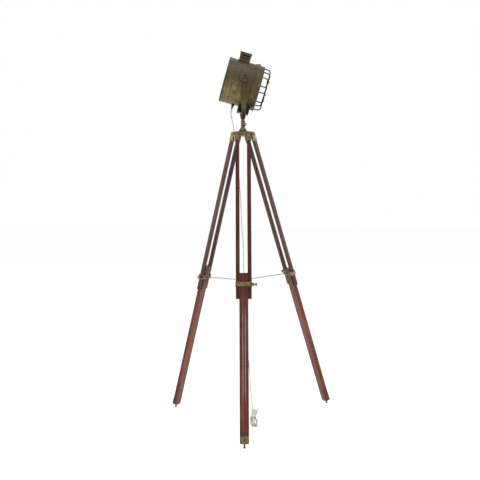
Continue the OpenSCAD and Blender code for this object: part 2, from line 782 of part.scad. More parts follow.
module rear_rivets() {
    color("#4a4030") on_drum() for (k = [0:rivet_count - 1])
        rotate([0, 0, 360 * (k + 0.5) / rivet_count]) translate([drum_r + run_fit, 0, -(drum_back + bead_back) / 2])
            rotate([0, 90, 0]) turned([[0, 0], [rivet_r, 0], [rivet_r * 0.7, 1], [0, 1.4]]);
}

module trunnion_bolts() {
    inner = sqrt(drum_in * drum_in - (pivot_up + 8) * (pivot_up + 8)) - 0.5;
    color("#8a7a45") on_head() for (side = [-1, 1]) rotate([side * 90, 0, 0]) turned([
        [0, inner - 4], [7, inner - 4], [7, inner], [trunnion_r, inner],
        [trunnion_r, fork_half + fork_t + tilt_knob_t - 3], [0, fork_half + fork_t + tilt_knob_t - 3]
    ]);
}

// A round hand knob; side is 1 on the near side, towards -Y
module tilt_knob(side) {
    color("#8a6a40") on_head() rotate([side * 90, 0, 0]) translate([0, 0, fork_half + fork_t + seat_gap])
        turned([
            [trunnion_r + run_fit, 0], [11, 0], [11, 2], [tilt_knob_r, 3], [tilt_knob_r, tilt_knob_t - 3],
            [tilt_knob_r - 3, tilt_knob_t], [0, tilt_knob_t], [0, tilt_knob_t - 3],
            [trunnion_r + run_fit, tilt_knob_t - 3]
        ]);
}

// A vent's four walls round a middle baffle, with two slots in each side; side as in vent_opening
module vent_box(middle, long, high, side, floor_t) {
    room = vent_half - 1.5 * vent_wall;
    difference() {
        translate([side * (drum_r + high) - (side > 0 ? high + 12 : 0), -vent_half, middle - long / 2])
            cube([high + 12, 2 * vent_half, long]);
        for (y = [-vent_half + vent_wall, vent_wall / 2])
            translate([side * (drum_r + high - floor_t) - (side > 0 ? high + 20 : 0), y,
                middle - long / 2 + vent_wall]) cube([high + 20, room, long - 2 * vent_wall]);
        translate([0, 0, middle - long]) cylinder(r = vent_seat, h = 2 * long);
        translate([0, 0, seam - trim_w - seat_gap]) cylinder(r = trim_r + seat_gap, h = long);
        for (k = [0, 1], y = [-vent_half, vent_half])
            translate([side * (drum_r + high * (0.3 + 0.35 * k)), y, middle])
                cube([slot_h, 4 * vent_wall, long - 14], center = true);
    }
}

module top_vent() {
    color("#5f5544") on_drum()
        vent_box(-top_vent_back, top_vent_len, top_vent_h - lid_t, -1, 0);
}

module top_vent_lid() {
    color("#6b5d50") on_drum()
        translate([-drum_r - top_vent_h, -vent_half - lid_over, -top_vent_back - top_vent_len / 2 - lid_over])
            cube([lid_t, 2 * (vent_half + lid_over), top_vent_len + 2 * lid_over]);
}

module bottom_vent() {
    color("#4a4236") on_drum()
        vent_box(low_vent_fwd, low_vent_len, low_vent_h, 1, vent_wall);
}

// A parabolic dish with a flat rim that seats behind the drum's step
module reflector() {
    open_r = drum_in - 7;
    bowl_t = 1.2;
    steps = 14;
    curve = [for (k = [0:steps]) let (r = holder_r + 2 + (open_r - holder_r - 2) * k / steps)
        [r, reflector_at + r * r / (4 * focal)]];
    color("silver") on_drum() turned(concat(
        curve, [[drum_in - seat_gap, rim_at], [drum_in - seat_gap, rim_at - bowl_t], [open_r + 1, rim_at - bowl_t]],
        [for (k = [steps:-1:0]) curve[k] + [0.6, -bowl_t]]));
}

module lampholder() {
    color("#2b2622") on_drum() difference() {
        translate([0, 0, -holder_back - holder_len]) turned([
            [0, 0], [holder_r - 4, 0], [holder_r, 5], [holder_r, holder_len - 12],
            [holder_r - 1.5, holder_len - 11], [holder_r - 1.5, holder_len], [0, holder_len]
        ]);
        translate([0, 0, -holder_back - 26]) cylinder(r = cap_r + seat_gap, h = 30);
    }
}

module holder_bracket() {
    base = -drum_back + cover_t;
    color("#8a8a86") on_drum() turned([
        [0, base], [holder_r, base], [holder_r, base + 2], [8, base + 2],
        [8, -holder_back - holder_len], [0, -holder_back - holder_len]
    ]);
}

// The bulb: a screw cap and a hollow glass neck and globe in one body
module bulb() {
    globe_at = -holder_back + globe_r + 12;
    neck_r = globe_r * 0.72;
    neck_at = globe_at - globe_r * 0.69;
    wall = 0.8;
    color("white") on_drum() difference() {
        union() {
            turned([
                [0, -holder_back - 25.6], [cap_r - 5, -holder_back - 25.6], [cap_r, -holder_back - 22],
                [cap_r, -holder_back + 2], [neck_r, neck_at], [0, globe_at]
            ]);
            translate([0, 0, globe_at]) sphere(r = globe_r);
        }
        turned([
            [0, -holder_back + 2], [cap_r - wall, -holder_back + 2], [neck_r - wall, neck_at], [0, globe_at]
        ]);
        translate([0, 0, globe_at]) sphere(r = globe_r - wall);
    }
}

// The lead from the gland to the lampholder, behind the reflector
module inner_lead() {
    bend = 3 * cord_d;
    low = drum_in - 20;
    back = -holder_back - holder_len + 12;
    color("#d8d4c8") on_drum() {
        translate([low, 0, -gland_back]) rotate([0, 90, 0]) cylinder(r = cord_d / 2, h = drum_in - 1 - low);
        translate([low, 0, -gland_back - bend]) rotate([90, 0, 0]) rotate([0, 0, 90])
            rotate_extrude(angle = 90) translate([bend, 0]) circle(r = cord_d / 2);
        translate([low - bend, 0, back + bend]) cylinder(r = cord_d / 2, h = -gland_back - 2 * bend - back);
        translate([low - 2 * bend, 0, back + bend]) rotate([90, 0, 0]) rotate([0, 0, -90])
            rotate_extrude(angle = 90) translate([bend, 0]) circle(r = cord_d / 2);
        translate([holder_r, 0, back]) rotate([0, 90, 0])
            cylinder(r = cord_d / 2, h = low - 2 * bend - holder_r);
    }
}

// A leaf spring under the drum's lip that holds the door shut
module door_catch() {
    color("#8a8a86") on_drum() translate([lip_r, -6, seam + 1.5])
        cube([skirt_gap - seat_gap, 12, lip_len - 3]);
}

// The drum's half of the door hinge: a leaf over the trim ring and two knuckles
module hinge_leaf() {
    color("#8c8350") on_drum() rotate([0, 0, 180]) difference() {
        for (side = [-1, 1]) translate([0, side * 8.3, 0]) union() {
            translate([knuckle_up, 0, knuckle_at]) rod_y(knuckle_r, -4, 4);
            translate([0, 4, 0]) rotate([90, 0, 0]) linear_extrude(8) polygon([
                [drum_r, seam - 14], [drum_r + 1.2, seam - 14], [trim_r + 1.4, seam - trim_w - 1],
                [knuckle_up, knuckle_at - 1], [knuckle_up - 1.4, knuckle_at - 1],
                [trim_r, seam - 0.2], [trim_r, seam - trim_w], [drum_r, seam - trim_w]
            ]);
        }
        translate([knuckle_up, 0, knuckle_at]) rod_y(pin_r, -20, 20);
    }
}

module hinge_pin() {
    color("#8a7a45") on_drum() translate([-knuckle_up, 0, knuckle_at]) rod_y(pin_r, -13, 13);
}

// A rubber grommet under the drum that the cord comes out of
module cord_gland() {
    color("#1c1a18") on_drum() translate([0, 0, -gland_back]) rotate([0, 90, 0]) turned([
        [0, drum_in - 1], [gland_r, drum_in - 1], [gland_r, drum_in - 0.1], [hole_r, drum_in - 0.1],
        [hole_r, drum_r + 0.6], [gland_r + 0.5, drum_r + 0.6], [gland_r, drum_r + 7],
        [cord_d / 2 + 2, drum_r + 8], [cord_d / 2 + 0.6, drum_r + gland_len], [0, drum_r + gland_len]
    ]);
}

// ---- door ----

module door_ring() {
    skirt_in = lip_r + skirt_gap;
    color("#7d7446") on_drum() difference() {
        union() {
            turned([
                [skirt_in, seam + seat_gap], [drum_r, seam + seat_gap], [drum_r, drum_front - 1],
                [drum_r - 1, drum_front], [window_r, drum_front], [window_r, drum_front - lip_t],
                [skirt_in, drum_front - lip_t]
            ]);
            rotate([0, 0, 180]) {
                translate([knuckle_up, 0, knuckle_at]) rod_y(knuckle_r, -4, 4);
                translate([0, 4, 0]) rotate([90, 0, 0]) linear_extrude(8) polygon([
                    [drum_r - 0.6, seam + 16], [drum_r + 1.2, seam + 16], [knuckle_up, knuckle_at + 1],
                    [knuckle_up - 2, knuckle_at + 0.8], [drum_r - 0.6, seam + 5]
                ]);
            }
            translate([drum_r - 0.5, -7, drum_front - 12]) cube([1.7, 14, 12]);
            translate([drum_r - 0.5, -7, drum_front - 1.6]) cube([8.5, 14, 1.6]);
        }
        rotate([0, 0, 180]) translate([knuckle_up, 0, knuckle_at]) rod_y(pin_r + run_fit, -20, 20);
    }
}

module door_glass() {
    color("lightcyan", 0.4) on_drum()
        translate([0, 0, drum_front - lip_t - seat_gap - glass_t]) cylinder(r = glass_r, h = glass_t, $fn = 96);
}

module glass_clips() {
    behind = drum_front - lip_t - 1.5 * seat_gap - glass_t - 1;
    out = sqrt(pow(lip_r + skirt_gap - seat_gap, 2) - 25);
    color("#8a8a86") on_drum() for (k = [0:3]) rotate([0, 0, 45 + 90 * k]) {
        translate([glass_r - 4, -5, behind]) cube([out - glass_r + 4, 10, 1]);
        translate([out - 1, -5, behind - 6]) cube([1, 10, 6.5]);
    }
}

// Eight bent wires that stand on the door's lip and meet in a button in front of the glass
module wire_guard() {
    foot = drum_front;
    face = drum_front + guard_out;
    start = guard_wire * 2.65;
    button = guard_wire * 3;
    color("#4a3b33") on_drum() {
        translate([0, 0, face]) turned([
            [0, -guard_wire - 0.5], [button - 0.5, -guard_wire - 0.5], [button, -guard_wire + 0.2],
            [button, guard_wire - 0.2], [button - 0.5, guard_wire + 0.5], [0, guard_wire + 0.5]
        ]);
        for (k = [0:7]) rotate([0, 0, 45 * k]) {
            translate([guard_r, 0, foot]) cylinder(r = guard_wire, h = face - guard_bend - foot, $fn = 24);
            translate([guard_r - guard_bend, 0, face - guard_bend]) rotate([90, 0, 0])
                rotate_extrude(angle = 90, $fn = 48) translate([guard_bend, 0]) circle(r = guard_wire, $fn = 24);
            translate([start, 0, face]) rotate([0, 90, 0])
                cylinder(r = guard_wire, h = guard_r - guard_bend - start, $fn = 24);
        }
    }
}

// Two domed nuts on broad washers, on the guard's upright wire
module guard_nuts() {
    base = drum_front + guard_out + guard_wire;
    color("#b8a898") on_drum() for (x = [-guard_nut_high, guard_nut_low])
        translate([x, 0, base]) turned([
            [0, 0], [7.5, 0], [7.5, 1.5], [4.5, 2], [4.5, 4.5], [3, 6.2], [0, 6.8]
        ]);
}

// ---- cord ----

module cord_upper() {
    color("#e4e1d6") place() tube(smooth(upper_route, 3), cord_d / 2);
}

module cord_drop() {
    color("#e4e1d6") place() tube(smooth(drop_route, 2), cord_d / 2);
}

// An oval outline with round ends and runs along Y
module oval(bend) {
    for (end = [-1, 1]) translate([0, end * hank_run / 2]) circle(r = bend);
    translate([-bend, -hank_run / 2]) square([2 * bend, hank_run]);
}

// The wound part of the cord
module cord_hank() {
    color("#e4e1d6") place() translate([hank_x, hank_y, 0]) linear_extrude(hank_h) difference() {
        oval(hank_bend + cord_d / 2);
        oval(hank_bend - cord_d / 2);
    }
}

// The cord's last stretch, from the hank up to the plug
module cord_tail() {
    color("#e4e1d6") place() tube(smooth(tail_route, 3), cord_d / 2);
}

module hank_tie() {
    half = hank_bend + cord_d / 2 + 0.3;
    color("#2b2622") place() translate([hank_x, tie_y, 0]) rotate([90, 0, 0])
        linear_extrude(3, center = true) difference() {
            translate([-half - 0.8, 0]) square([2 * half + 1.6, tie_top + 0.8]);
            translate([-half, -0.01]) square([2 * half, tie_top + 0.01]);
        }
}

// A two-pin plug that leans up from the hank, its pins away from its cord
module plug() {
    half = plug_w / 2;
    color("#ddd6c4") place() translate(plug_at) rotate([0, 0, plug_turn]) rotate([plug_lean, 0, 0]) {
        translate([0, 0, -plug_t / 2]) linear_extrude(plug_t) {
            translate([-half, 0]) square([plug_w, plug_len / 2]);
            polygon([[-half, 0], [half, 0], [boot_r + 2, -plug_len / 2], [-boot_r - 2, -plug_len / 2]]);
        }
        translate([0, -plug_len / 2 - boot_len, 0]) rotate([-90, 0, 0])
            turned([[0, 0], [cord_d / 2 + 0.8, 0], [boot_r + 1, boot_len], [0, boot_len]]);
        for (side = [-1, 1]) translate([side * pin_gap / 2, 0, 0])
            rod_y(2.2, plug_len / 2, plug_len / 2 + pin_len);
    }
}

hub_casting();
hinge_bolts();
hinge_nuts();
pan_screw();
rails(FRONT);  // rails_front
rails(LEFT);  // rails_left
rails(RIGHT);  // rails_right
ferrules(FRONT);  // ferrules_front
ferrules(LEFT);  // ferrules_left
ferrules(RIGHT);  // ferrules_right
clamp(FRONT);  // clamp_front
clamp(LEFT);  // clamp_left
clamp(RIGHT);  // clamp_right
clamp_screw(FRONT);  // clamp_screw_front
clamp_screw(LEFT);  // clamp_screw_left
clamp_screw(RIGHT);  // clamp_screw_right
lower_bar(FRONT);  // lower_bar_front
lower_bar(LEFT);  // lower_bar_left
lower_bar(RIGHT);  // lower_bar_right
foot_plate(FRONT);  // foot_plate_front
foot_plate(LEFT);  // foot_plate_left
foot_plate(RIGHT);  // foot_plate_right
spike(FRONT);  // spike_front
spike(LEFT);  // spike_left
spike(RIGHT);  // spike_right
chain_front();
side_chain(LEFT);  // chain_left
side_chain(RIGHT);  // chain_right
fork();
fork_stem();
stem_nut();
drum_shell();
rear_cover();
rear_rivets();
trunnion_bolts();
top_vent();
top_vent_lid();
bottom_vent();
tilt_knob(1);  // tilt_knob_near
tilt_knob(-1);  // tilt_knob_far
reflector();
lampholder();
holder_bracket();
bulb();
inner_lead();
door_catch();
hinge_leaf();
hinge_pin();
cord_gland();
door_ring();
door_glass();
glass_clips();
wire_guard();
guard_nuts();
cord_upper();
cord_drop();
cord_hank();
cord_tail();
hank_tie();
plug();
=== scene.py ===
# %% [markdown]
# # A tripod floor lamp with a searchlight head
# The construction comes from the CAD frame: wooden legs, brass fittings, a drum in a fork. This
# script gives each piece its finish, replaces a few plain solids with better surfaces, and sets
# up the camera, the floor and the light. Everything is in metres, in the frame's own axes: +Z is
# up and the lamp points along +X.

import json
import math

import bmesh
import bpy
import numpy as np
from mathutils import Matrix, Vector


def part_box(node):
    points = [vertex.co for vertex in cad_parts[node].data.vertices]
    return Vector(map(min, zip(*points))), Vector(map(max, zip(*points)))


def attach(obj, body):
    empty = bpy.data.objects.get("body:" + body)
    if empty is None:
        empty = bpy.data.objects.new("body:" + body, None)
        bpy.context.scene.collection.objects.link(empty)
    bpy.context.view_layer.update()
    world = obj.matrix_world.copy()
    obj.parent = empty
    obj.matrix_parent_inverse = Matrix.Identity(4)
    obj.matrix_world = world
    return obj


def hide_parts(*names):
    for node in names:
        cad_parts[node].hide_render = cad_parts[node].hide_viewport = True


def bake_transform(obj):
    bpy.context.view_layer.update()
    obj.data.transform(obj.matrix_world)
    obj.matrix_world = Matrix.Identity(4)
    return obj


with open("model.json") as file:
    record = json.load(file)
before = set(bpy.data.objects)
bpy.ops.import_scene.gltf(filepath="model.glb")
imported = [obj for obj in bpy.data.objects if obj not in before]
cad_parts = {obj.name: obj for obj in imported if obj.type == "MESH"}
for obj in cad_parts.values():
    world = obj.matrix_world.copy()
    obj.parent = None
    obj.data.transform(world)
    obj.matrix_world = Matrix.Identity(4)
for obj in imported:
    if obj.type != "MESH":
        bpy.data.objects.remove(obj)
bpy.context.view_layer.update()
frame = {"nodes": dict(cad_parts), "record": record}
scene = bpy.context.scene
MM = 0.001

# %% [markdown]
# ## Where things are
# The stem of the fork stands on the hub's axis, so the middle of its box gives that axis. The
# joints in the record give the tilt axis and the directions of the legs. The front glass is a
# thin flat disc, so the direction in which its points spread least is the way the lamp points. A
# singular value decomposition finds that direction, and it stays right if the head is made with
# another tilt.

# %% Read the main axes
JOINTS = {j["name"]: j for j in frame["record"]["behaviour"]["joints"]}
BODY_OF = {n: b for b, ns in frame["record"]["behaviour"]["bodies"].items() for n in ns}
LEGS = ("front", "left", "right")
stem_low, stem_high = (np.array(c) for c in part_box("fork_stem"))
HUB = np.array([*(stem_low + stem_high)[:2] / 2, 0.0])
PIVOT = np.array(JOINTS["tilt"]["pos_m"])


def points_of(node):
    """All the points of a CAD node's mesh as one (n, 3) array."""
    corners = frame["nodes"][node].data.vertices
    places = np.empty(len(corners) * 3)
    corners.foreach_get("co", places)
    return places.reshape(-1, 3)


spots = points_of("door_glass")
GLASS_MIDDLE = spots.mean(axis=0)
FORWARD = np.linalg.svd(spots - GLASS_MIDDLE, full_matrices=False)[2][-1]
FORWARD = FORWARD * np.sign(FORWARD[0])
UP = np.cross(FORWARD, [0.0, 1.0, 0.0])
DRUM_AXIS = GLASS_MIDDLE - FORWARD * np.dot(GLASS_MIDDLE - PIVOT, FORWARD)
print("hub axis at", HUB.round(4), "tilt axis at", PIVOT.round(4), "lamp points", FORWARD.round(4))

# %% [markdown]
# ## Camera
# The camera stands about three metres away at chest height and looks slightly down. Its lens
# gives the gentle perspective of a product view: the near foot sits lower in the frame than the
# other two. The Standard view transform shows each colour as it is written, with nothing rolled
# off.

# %% Set up the camera
CAMERA_FROM_HUB = 3.128
CAMERA_HEIGHT = 1.0093
SEEN_FROM = math.radians(-93)
HEADING = math.radians(87.23)
LOOKS_DOWN = math.radians(3.95)

camera_data = bpy.data.cameras.new("camera")
camera_data.sensor_width = 36
camera_data.lens = 54
camera = bpy.data.objects.new("camera", camera_data)
camera.location = HUB + np.array([
    CAMERA_FROM_HUB * math.cos(SEEN_FROM),
    CAMERA_FROM_HUB * math.sin(SEEN_FROM),
    CAMERA_HEIGHT,
])
camera.rotation_euler = (math.pi / 2 - LOOKS_DOWN, 0, HEADING - math.pi / 2)
scene.collection.objects.link(camera)
scene.camera = camera
scene.view_settings.view_transform = "Standard"
print("camera at", [round(v, 3) for v in camera.location], "with a lens of", camera_data.lens, "mm")

# %% [markdown]
# ## Colours and nodes
# Colours are written as sRGB hex values, as a paint chart gives them, and one function turns them
# to the linear values that shaders use. One more function adds a shader node with its settings
# and links, so that a material below reads as a list of what is done to its surface.

# %% Colour and node helpers
def linear(colour):
    """sRGB hex to linear RGBA: c / 12.92 up to 0.04045, above it ((c + 0.055) / 1.055) ** 2.4."""
    parts = np.array([int(colour[i:i + 2], 16) for i in (1, 3, 5)]) / 255
    low = parts / 12.92
    high = ((parts + 0.055) / 1.055) ** 2.4
    return (*np.where(parts <= 0.04045, low, high), 1.0)


def add(tree, kind, sockets=None, output=0, stops=(), **settings):
    """Adds a node and gives back one of its outputs.

    Settings are the node's properties, sockets maps its inputs to a value or to another node's
    output, and stops are the (place, colour) pairs of a colour ramp.
    """
    made = tree.nodes.new(kind)
    for name, value in settings.items():
        setattr(made, name, value)
    for key, value in (sockets or {}).items():
        if isinstance(value, bpy.types.NodeSocket):
            tree.links.new(value, made.inputs[key])
        else:
            made.inputs[key].default_value = value
    for _ in stops[2:]:
        made.color_ramp.elements.new(0.5)
    for element, (place, colour) in zip(made.color_ramp.elements if stops else (), stops):
        element.position = place
        element.color = linear(colour)
    return made.outputs[output] if made.outputs else None


def empty_material(name):
    """A material with nothing in its tree yet."""
    made = bpy.data.materials.new(name)
    made.use_nodes = True
    made.node_tree.nodes.clear()
    return made, made.node_tree


print("middle grey #808080 is", round(linear("#808080")[0], 3), "in linear light")

# %% [markdown]
# ## Surround and floor
# A pale floor and a white surround. The surround is white to the camera, in reflections and
# through glass, but it lights the object only softly, so that colours render about as they are
# written. The floor glows just enough to look white from the same three, and it keeps the lamp's
# shadow.

# %% Surround and floor
def seen_directly(tree):
    """1 for rays from the camera, from a reflection or through glass, otherwise 0."""
    camera_ray = add(tree, "ShaderNodeLightPath", output="Is Camera Ray")
    glossy_ray = add(tree, "ShaderNodeLightPath", output="Is Glossy Ray")
    glass_ray = add(tree, "ShaderNodeLightPath", output="Is Transmission Ray")
    either = add(tree, "ShaderNodeMath", {0: camera_ray, 1: glossy_ray}, operation="MAXIMUM")
    return add(tree, "ShaderNodeMath", {0: either, 1: glass_ray}, operation="MAXIMUM")


def make_world(light_level):
    """A surround that is white where it is seen, and lights the object at light_level."""
    world = bpy.data.worlds.new("studio surround")
    world.use_nodes = True
    tree = world.node_tree
    tree.nodes.clear()
    light = add(tree, "ShaderNodeBackground", {"Color": linear("#ffffff"), "Strength": light_level})
    white = add(tree, "ShaderNodeBackground", {"Color": linear("#ffffff"), "Strength": 1.0})
    surface = add(tree, "ShaderNodeMixShader", {0: seen_directly(tree), 1: light, 2: white})
    add(tree, "ShaderNodeOutputWorld", {"Surface": surface})
    scene.world = world


def make_floor(size, glow):
    """A square of matt white, size metres wide, which adds glow where it is seen directly."""
    half = size / 2
    mesh = bpy.data.meshes.new("floor")
    corners = [(-half, -half, 0), (half, -half, 0), (half, half, 0), (-half, half, 0)]
    mesh.from_pydata(corners, [], [(0, 1, 2, 3)])
    floor = bpy.data.objects.new("floor", mesh)
    scene.collection.objects.link(floor)
    paint, tree = empty_material("white studio floor")
    matt = add(tree, "ShaderNodeBsdfDiffuse", {"Color": linear("#e6e6e6")})
    strength = add(tree, "ShaderNodeMath", {0: seen_directly(tree), 1: glow}, operation="MULTIPLY")
    shine = add(tree, "ShaderNodeEmission", {"Color": linear("#ffffff"), "Strength": strength})
    both = add(tree, "ShaderNodeAddShader", {0: matt, 1: shine})
    add(tree, "ShaderNodeOutputMaterial", {"Surface": both})
    mesh.materials.append(paint)


make_world(light_level=0.5)
make_floor(size=30, glow=0.58)
print("white surround and floor are in place")

# %% [markdown]
# ## Lamps
# Three round lamps with soft edges. The high one stands in front of the object and gives the main
# light and the shadow on the floor. The two low ones fill the legs from both sides. They stay
# wide and weak, so that polished brass shows broad highlights and no white spots.

# %% Three soft lamps
def make_lamp(name, place, target, size, power):
    """A round area lamp at place that points to target, size metres wide, power in watts."""
    data = bpy.data.lights.new(name, "AREA")
    data.shape = "DISK"
    data.size = size
    data.energy = power
    lamp = bpy.data.objects.new(name, data)
    lamp.location = place
    lamp.rotation_euler = (Vector(target) - Vector(place)).to_track_quat("-Z", "Y").to_euler()
    scene.collection.objects.link(lamp)
    print(name, "has", power, "W")


make_lamp("high soft light", place=(-0.8, -1.0, 4.6), target=(0, 0, 0.9), size=2.4, power=60)
make_lamp("left soft light", place=(-2.9, -1.5, 1.2), target=(0, 0, 0.8), size=1.8, power=30)
make_lamp("right soft light", place=(2.8, -1.6, 1.2), target=(0, 0, 0.8), size=1.8, power=32)

# %% [markdown]
# ## Surfaces from numpy
# A grid of points becomes a mesh in one call. Rows run along the piece and columns run round it.
# A closed grid joins its last column to its first, and each end is closed with a point of its
# own, so every piece is a closed skin whose faces point outwards.

# %% Grid with closed ends
def piece_from(name, points, quads):
    """A smooth mesh object from points (n, 3) and faces (m, 4), where a repeated corner is one."""
    mesh = bpy.data.meshes.new(name)
    faces = [list(dict.fromkeys(corners)) for corners in quads.tolist()]
    mesh.from_pydata(np.asarray(points).tolist(), [], faces)
    mesh.update()
    mesh.shade_smooth()
    made = bpy.data.objects.new(name, mesh)
    scene.collection.objects.link(made)
    print("made", name, "with", len(mesh.polygons), "faces")
    return made


def closed_grid(rows, columns):
    """Faces of a grid of rows by columns that closes on itself across its columns. The face at
    (r, c) joins the points (r, c), (r, c + 1), (r + 1, c + 1) and (r + 1, c)."""
    r, c = np.meshgrid(np.arange(rows - 1), np.arange(columns), indexing="ij")
    n = (c + 1) % columns
    quads = [r * columns + c, r * columns + n, (r + 1) * columns + n, (r + 1) * columns + c]
    return np.stack(quads, axis=-1).reshape(-1, 4)


def capped(points, quads, columns):
    """Closes both ends of a tube of rings with a fan to the middle of each end ring."""
    first = points[:columns].mean(axis=0)
    last = points[-columns:].mean(axis=0)
    count = len(points)
    c = np.arange(columns)
    n = (c + 1) % columns
    start = np.stack([np.full(columns, count), n, c, c], axis=-1)
    end = np.stack([np.full(columns, count + 1), count - columns + c, count - columns + n,
                    count - columns + n], axis=-1)
    return np.vstack([points, first, last]), np.vstack([quads, start, end])

# %% [markdown]
# ## Turned pieces and tubes
# Knobs, pins and the gland are turned on a lathe, so they are a profile carried round an axis.
# The cord is a circle carried along a path. A fixed direction keeps the circles from twisting,
# which is why the path may never run along it.

# %% Lathe
def lathe(name, profile, origin, axis, around=64, ripple=0.0, teeth=0):
    """Turns a profile of (radius, height) points about an axis through origin.

    Point = origin + height * axis
            + radius * (1 + ripple * cos(teeth * a)) * (cos(a) * u + sin(a) * v),
    where u and v are at right angles to the axis. The ripple, one value or one for each point of
    the profile, gives a knurled or fluted rim.
    """
    profile = np.asarray(profile, float)
    axis = np.asarray(axis, float) / np.linalg.norm(axis)
    u = np.cross(axis, [0, 0, 1] if abs(axis[2]) < 0.9 else [0, 1, 0])
    u = u / np.linalg.norm(u)
    v = np.cross(axis, u)
    a = 2 * np.pi * np.arange(around) / around
    circle = np.cos(a)[:, None] * u + np.sin(a)[:, None] * v
    ripple = np.broadcast_to(ripple, len(profile))
    swell = 1 + ripple[:, None] * np.cos(teeth * a)[None]
    rings = (profile[:, :1] * swell)[:, :, None] * circle[None]
    rings = rings + profile[:, 1][:, None, None] * axis + np.asarray(origin)
    points, quads = capped(rings.reshape(-1, 3), closed_grid(len(profile), around), around)
    return piece_from(name, points, quads)

# %% Tube
REFERENCE = np.array([1.0, 0.0, 1.0]) / math.sqrt(2)


def tube(name, path, radius, around=14):
    """A round tube along a path that never runs along REFERENCE.

    Ring point = path + radius * (cos(a) * side + sin(a) * up), with side = tangent x REFERENCE and
    up = tangent x side, both made one unit long.
    """
    path = np.asarray(path, float)
    radius = np.broadcast_to(radius, len(path))
    tangent = np.gradient(path, axis=0)
    tangent /= np.linalg.norm(tangent, axis=1, keepdims=True)
    side = np.cross(tangent, REFERENCE)
    side /= np.linalg.norm(side, axis=1, keepdims=True)
    up = np.cross(tangent, side)
    a = 2 * np.pi * np.arange(around) / around
    circle = np.cos(a)[None, :, None] * side[:, None] + np.sin(a)[None, :, None] * up[:, None]
    rings = path[:, None] + radius[:, None, None] * circle
    points, quads = capped(rings.reshape(-1, 3), closed_grid(len(path), around), around)
    return piece_from(name, points, quads)

# %% [markdown]
# ## The cord
# A thin two-core lead, ivory and slightly see-through. It leaves the drum through a tapered
# rubber gland, hangs beside the fork, passes the notch between two legs and drops inside the
# tripod. What is left over is wound into a hank on the floor: the cord comes down inside the
# hank, crosses the floor to its front corner and winds upwards from there, and the plug leans up
# out of the last turn. Its route is the one that the CAD solids hold: a few points, in
# millimetres from the hub's axis, and a smooth curve through them. A curve that passes through
# its points is easier to place than one that is only drawn towards them.

# %% Route of the cord
CORD = 4 * MM


def smooth_route(points, steps=8):
    """A curve through all the points, in steps from each to the next. Between b and c, with
    neighbours a and d and t from 0 to 1, it is half of
    2b + (c - a)t + (2a - 5b + 4c - d)t^2 + (3b - a - 3c + d)t^3."""
    p = np.asarray(points, float)
    a = np.vstack([p[:1], p[:-2]])[:, None]
    b = p[:-1][:, None]
    c = p[1:][:, None]
    d = np.vstack([p[2:], p[-1:]])[:, None]
    t = (np.arange(steps) / steps)[None, :, None]
    curve = 0.5 * (2 * b + (c - a) * t + (2 * a - 5 * b + 4 * c - d) * t ** 2
                   + (3 * b - a - 3 * c + d) * t ** 3)
    return np.vstack([curve.reshape(-1, 3), p[-1:]])


def length_of(path):
    """The sum of the distances from each point to the next."""
    return float(np.linalg.norm(np.diff(path, axis=0), axis=1).sum())


GLAND_BEHIND = 16 * MM
GLAND_REACH = 125 * MM
GLAND_TIP = PIVOT - HUB - GLAND_BEHIND * FORWARD - GLAND_REACH * UP
UPPER_ROUTE = np.vstack([GLAND_TIP, np.array([
    [-51, -1, 1347], [-51.5, -3, 1336], [-50, -6, 1323], [-47, -9, 1310], [-44, -11, 1298],
]) * MM])
DROP_ROUTE = np.array([
    [-44, -11, 1298], [-42, -14, 1285], [-40, -17, 1270], [-38.3, -19.8, 1252], [-36.5, -20, 1235],
    [-33, -18.5, 1210], [-27, -17, 1160], [-20, -16, 1090], [-14, -14, 1020], [-10, -13, 950],
    [-7, -13, 880], [-4.5, -13, 835], [0, -13, 800], [1.5, -13.5, 760], [2, -14, 710],
    [4, -14.5, 660], [8, -15, 615], [10, -15.5, 560], [12.5, -16, 500], [15.5, -17, 430],
    [18.5, -17.5, 350], [22, -17.5, 280], [27.5, -18, 235], [30.5, -19, 195], [31.8, -20, 160],
    [34.5, -20, 125], [37.8, -19, 95], [40, -17, 70], [40, -15.8, 50], [39.2, -16.5, 34],
    [38, -19.5, 20], [37.2, -27, 8], [38.5, -38, 3], [42, -55, 2.05], [49, -80, 2.05],
    [54.5, -97, 2.05],
]) * MM
print("the cord starts", round(float(GLAND_TIP[2]), 3), "m up and drops to",
      round(float(DROP_ROUTE[-1, 2]), 4), "m")

# %% The hank
HANK_MIDDLE = np.array([44, -64, 0]) * MM
HANK_RUN = 84 * MM
HANK_BEND = 12 * MM
LOWEST = CORD / 2 + 0.05 * MM


def hank_path(laps=3, points_per_lap=48, points_at_end=9):
    """The wound turns: an oval of two straight runs and two half circles, which climbs by one cord
    diameter a lap. It starts at the front right corner, and the place on the oval comes from the
    distance travelled along it: half circle, left run, half circle, right run. After the last lap
    it goes on for one more half circle."""
    arc = math.pi * HANK_BEND
    lap = 2 * (HANK_RUN + arc)
    travelled = np.linspace(0, laps * lap + arc, laps * points_per_lap + points_at_end)
    s = travelled % lap
    parts = [s < arc, s < arc + HANK_RUN, s < 2 * arc + HANK_RUN]
    front = s / HANK_BEND
    rear = (s - arc - HANK_RUN) / HANK_BEND
    x = np.select(parts, [
        HANK_BEND * np.cos(front),
        -HANK_BEND,
        -HANK_BEND * np.cos(rear),
    ], HANK_BEND)
    y = np.select(parts, [
        -HANK_RUN / 2 - HANK_BEND * np.sin(front),
        -HANK_RUN / 2 + (s - arc),
        HANK_RUN / 2 + HANK_BEND * np.sin(rear),
    ], HANK_RUN / 2 - (s - 2 * arc - HANK_RUN))
    z = LOWEST + CORD * travelled / lap
    return HANK_MIDDLE + np.stack([x, y, z], axis=1)


hank = hank_path()
print("the hank holds", round(length_of(hank), 3), "m of cord")

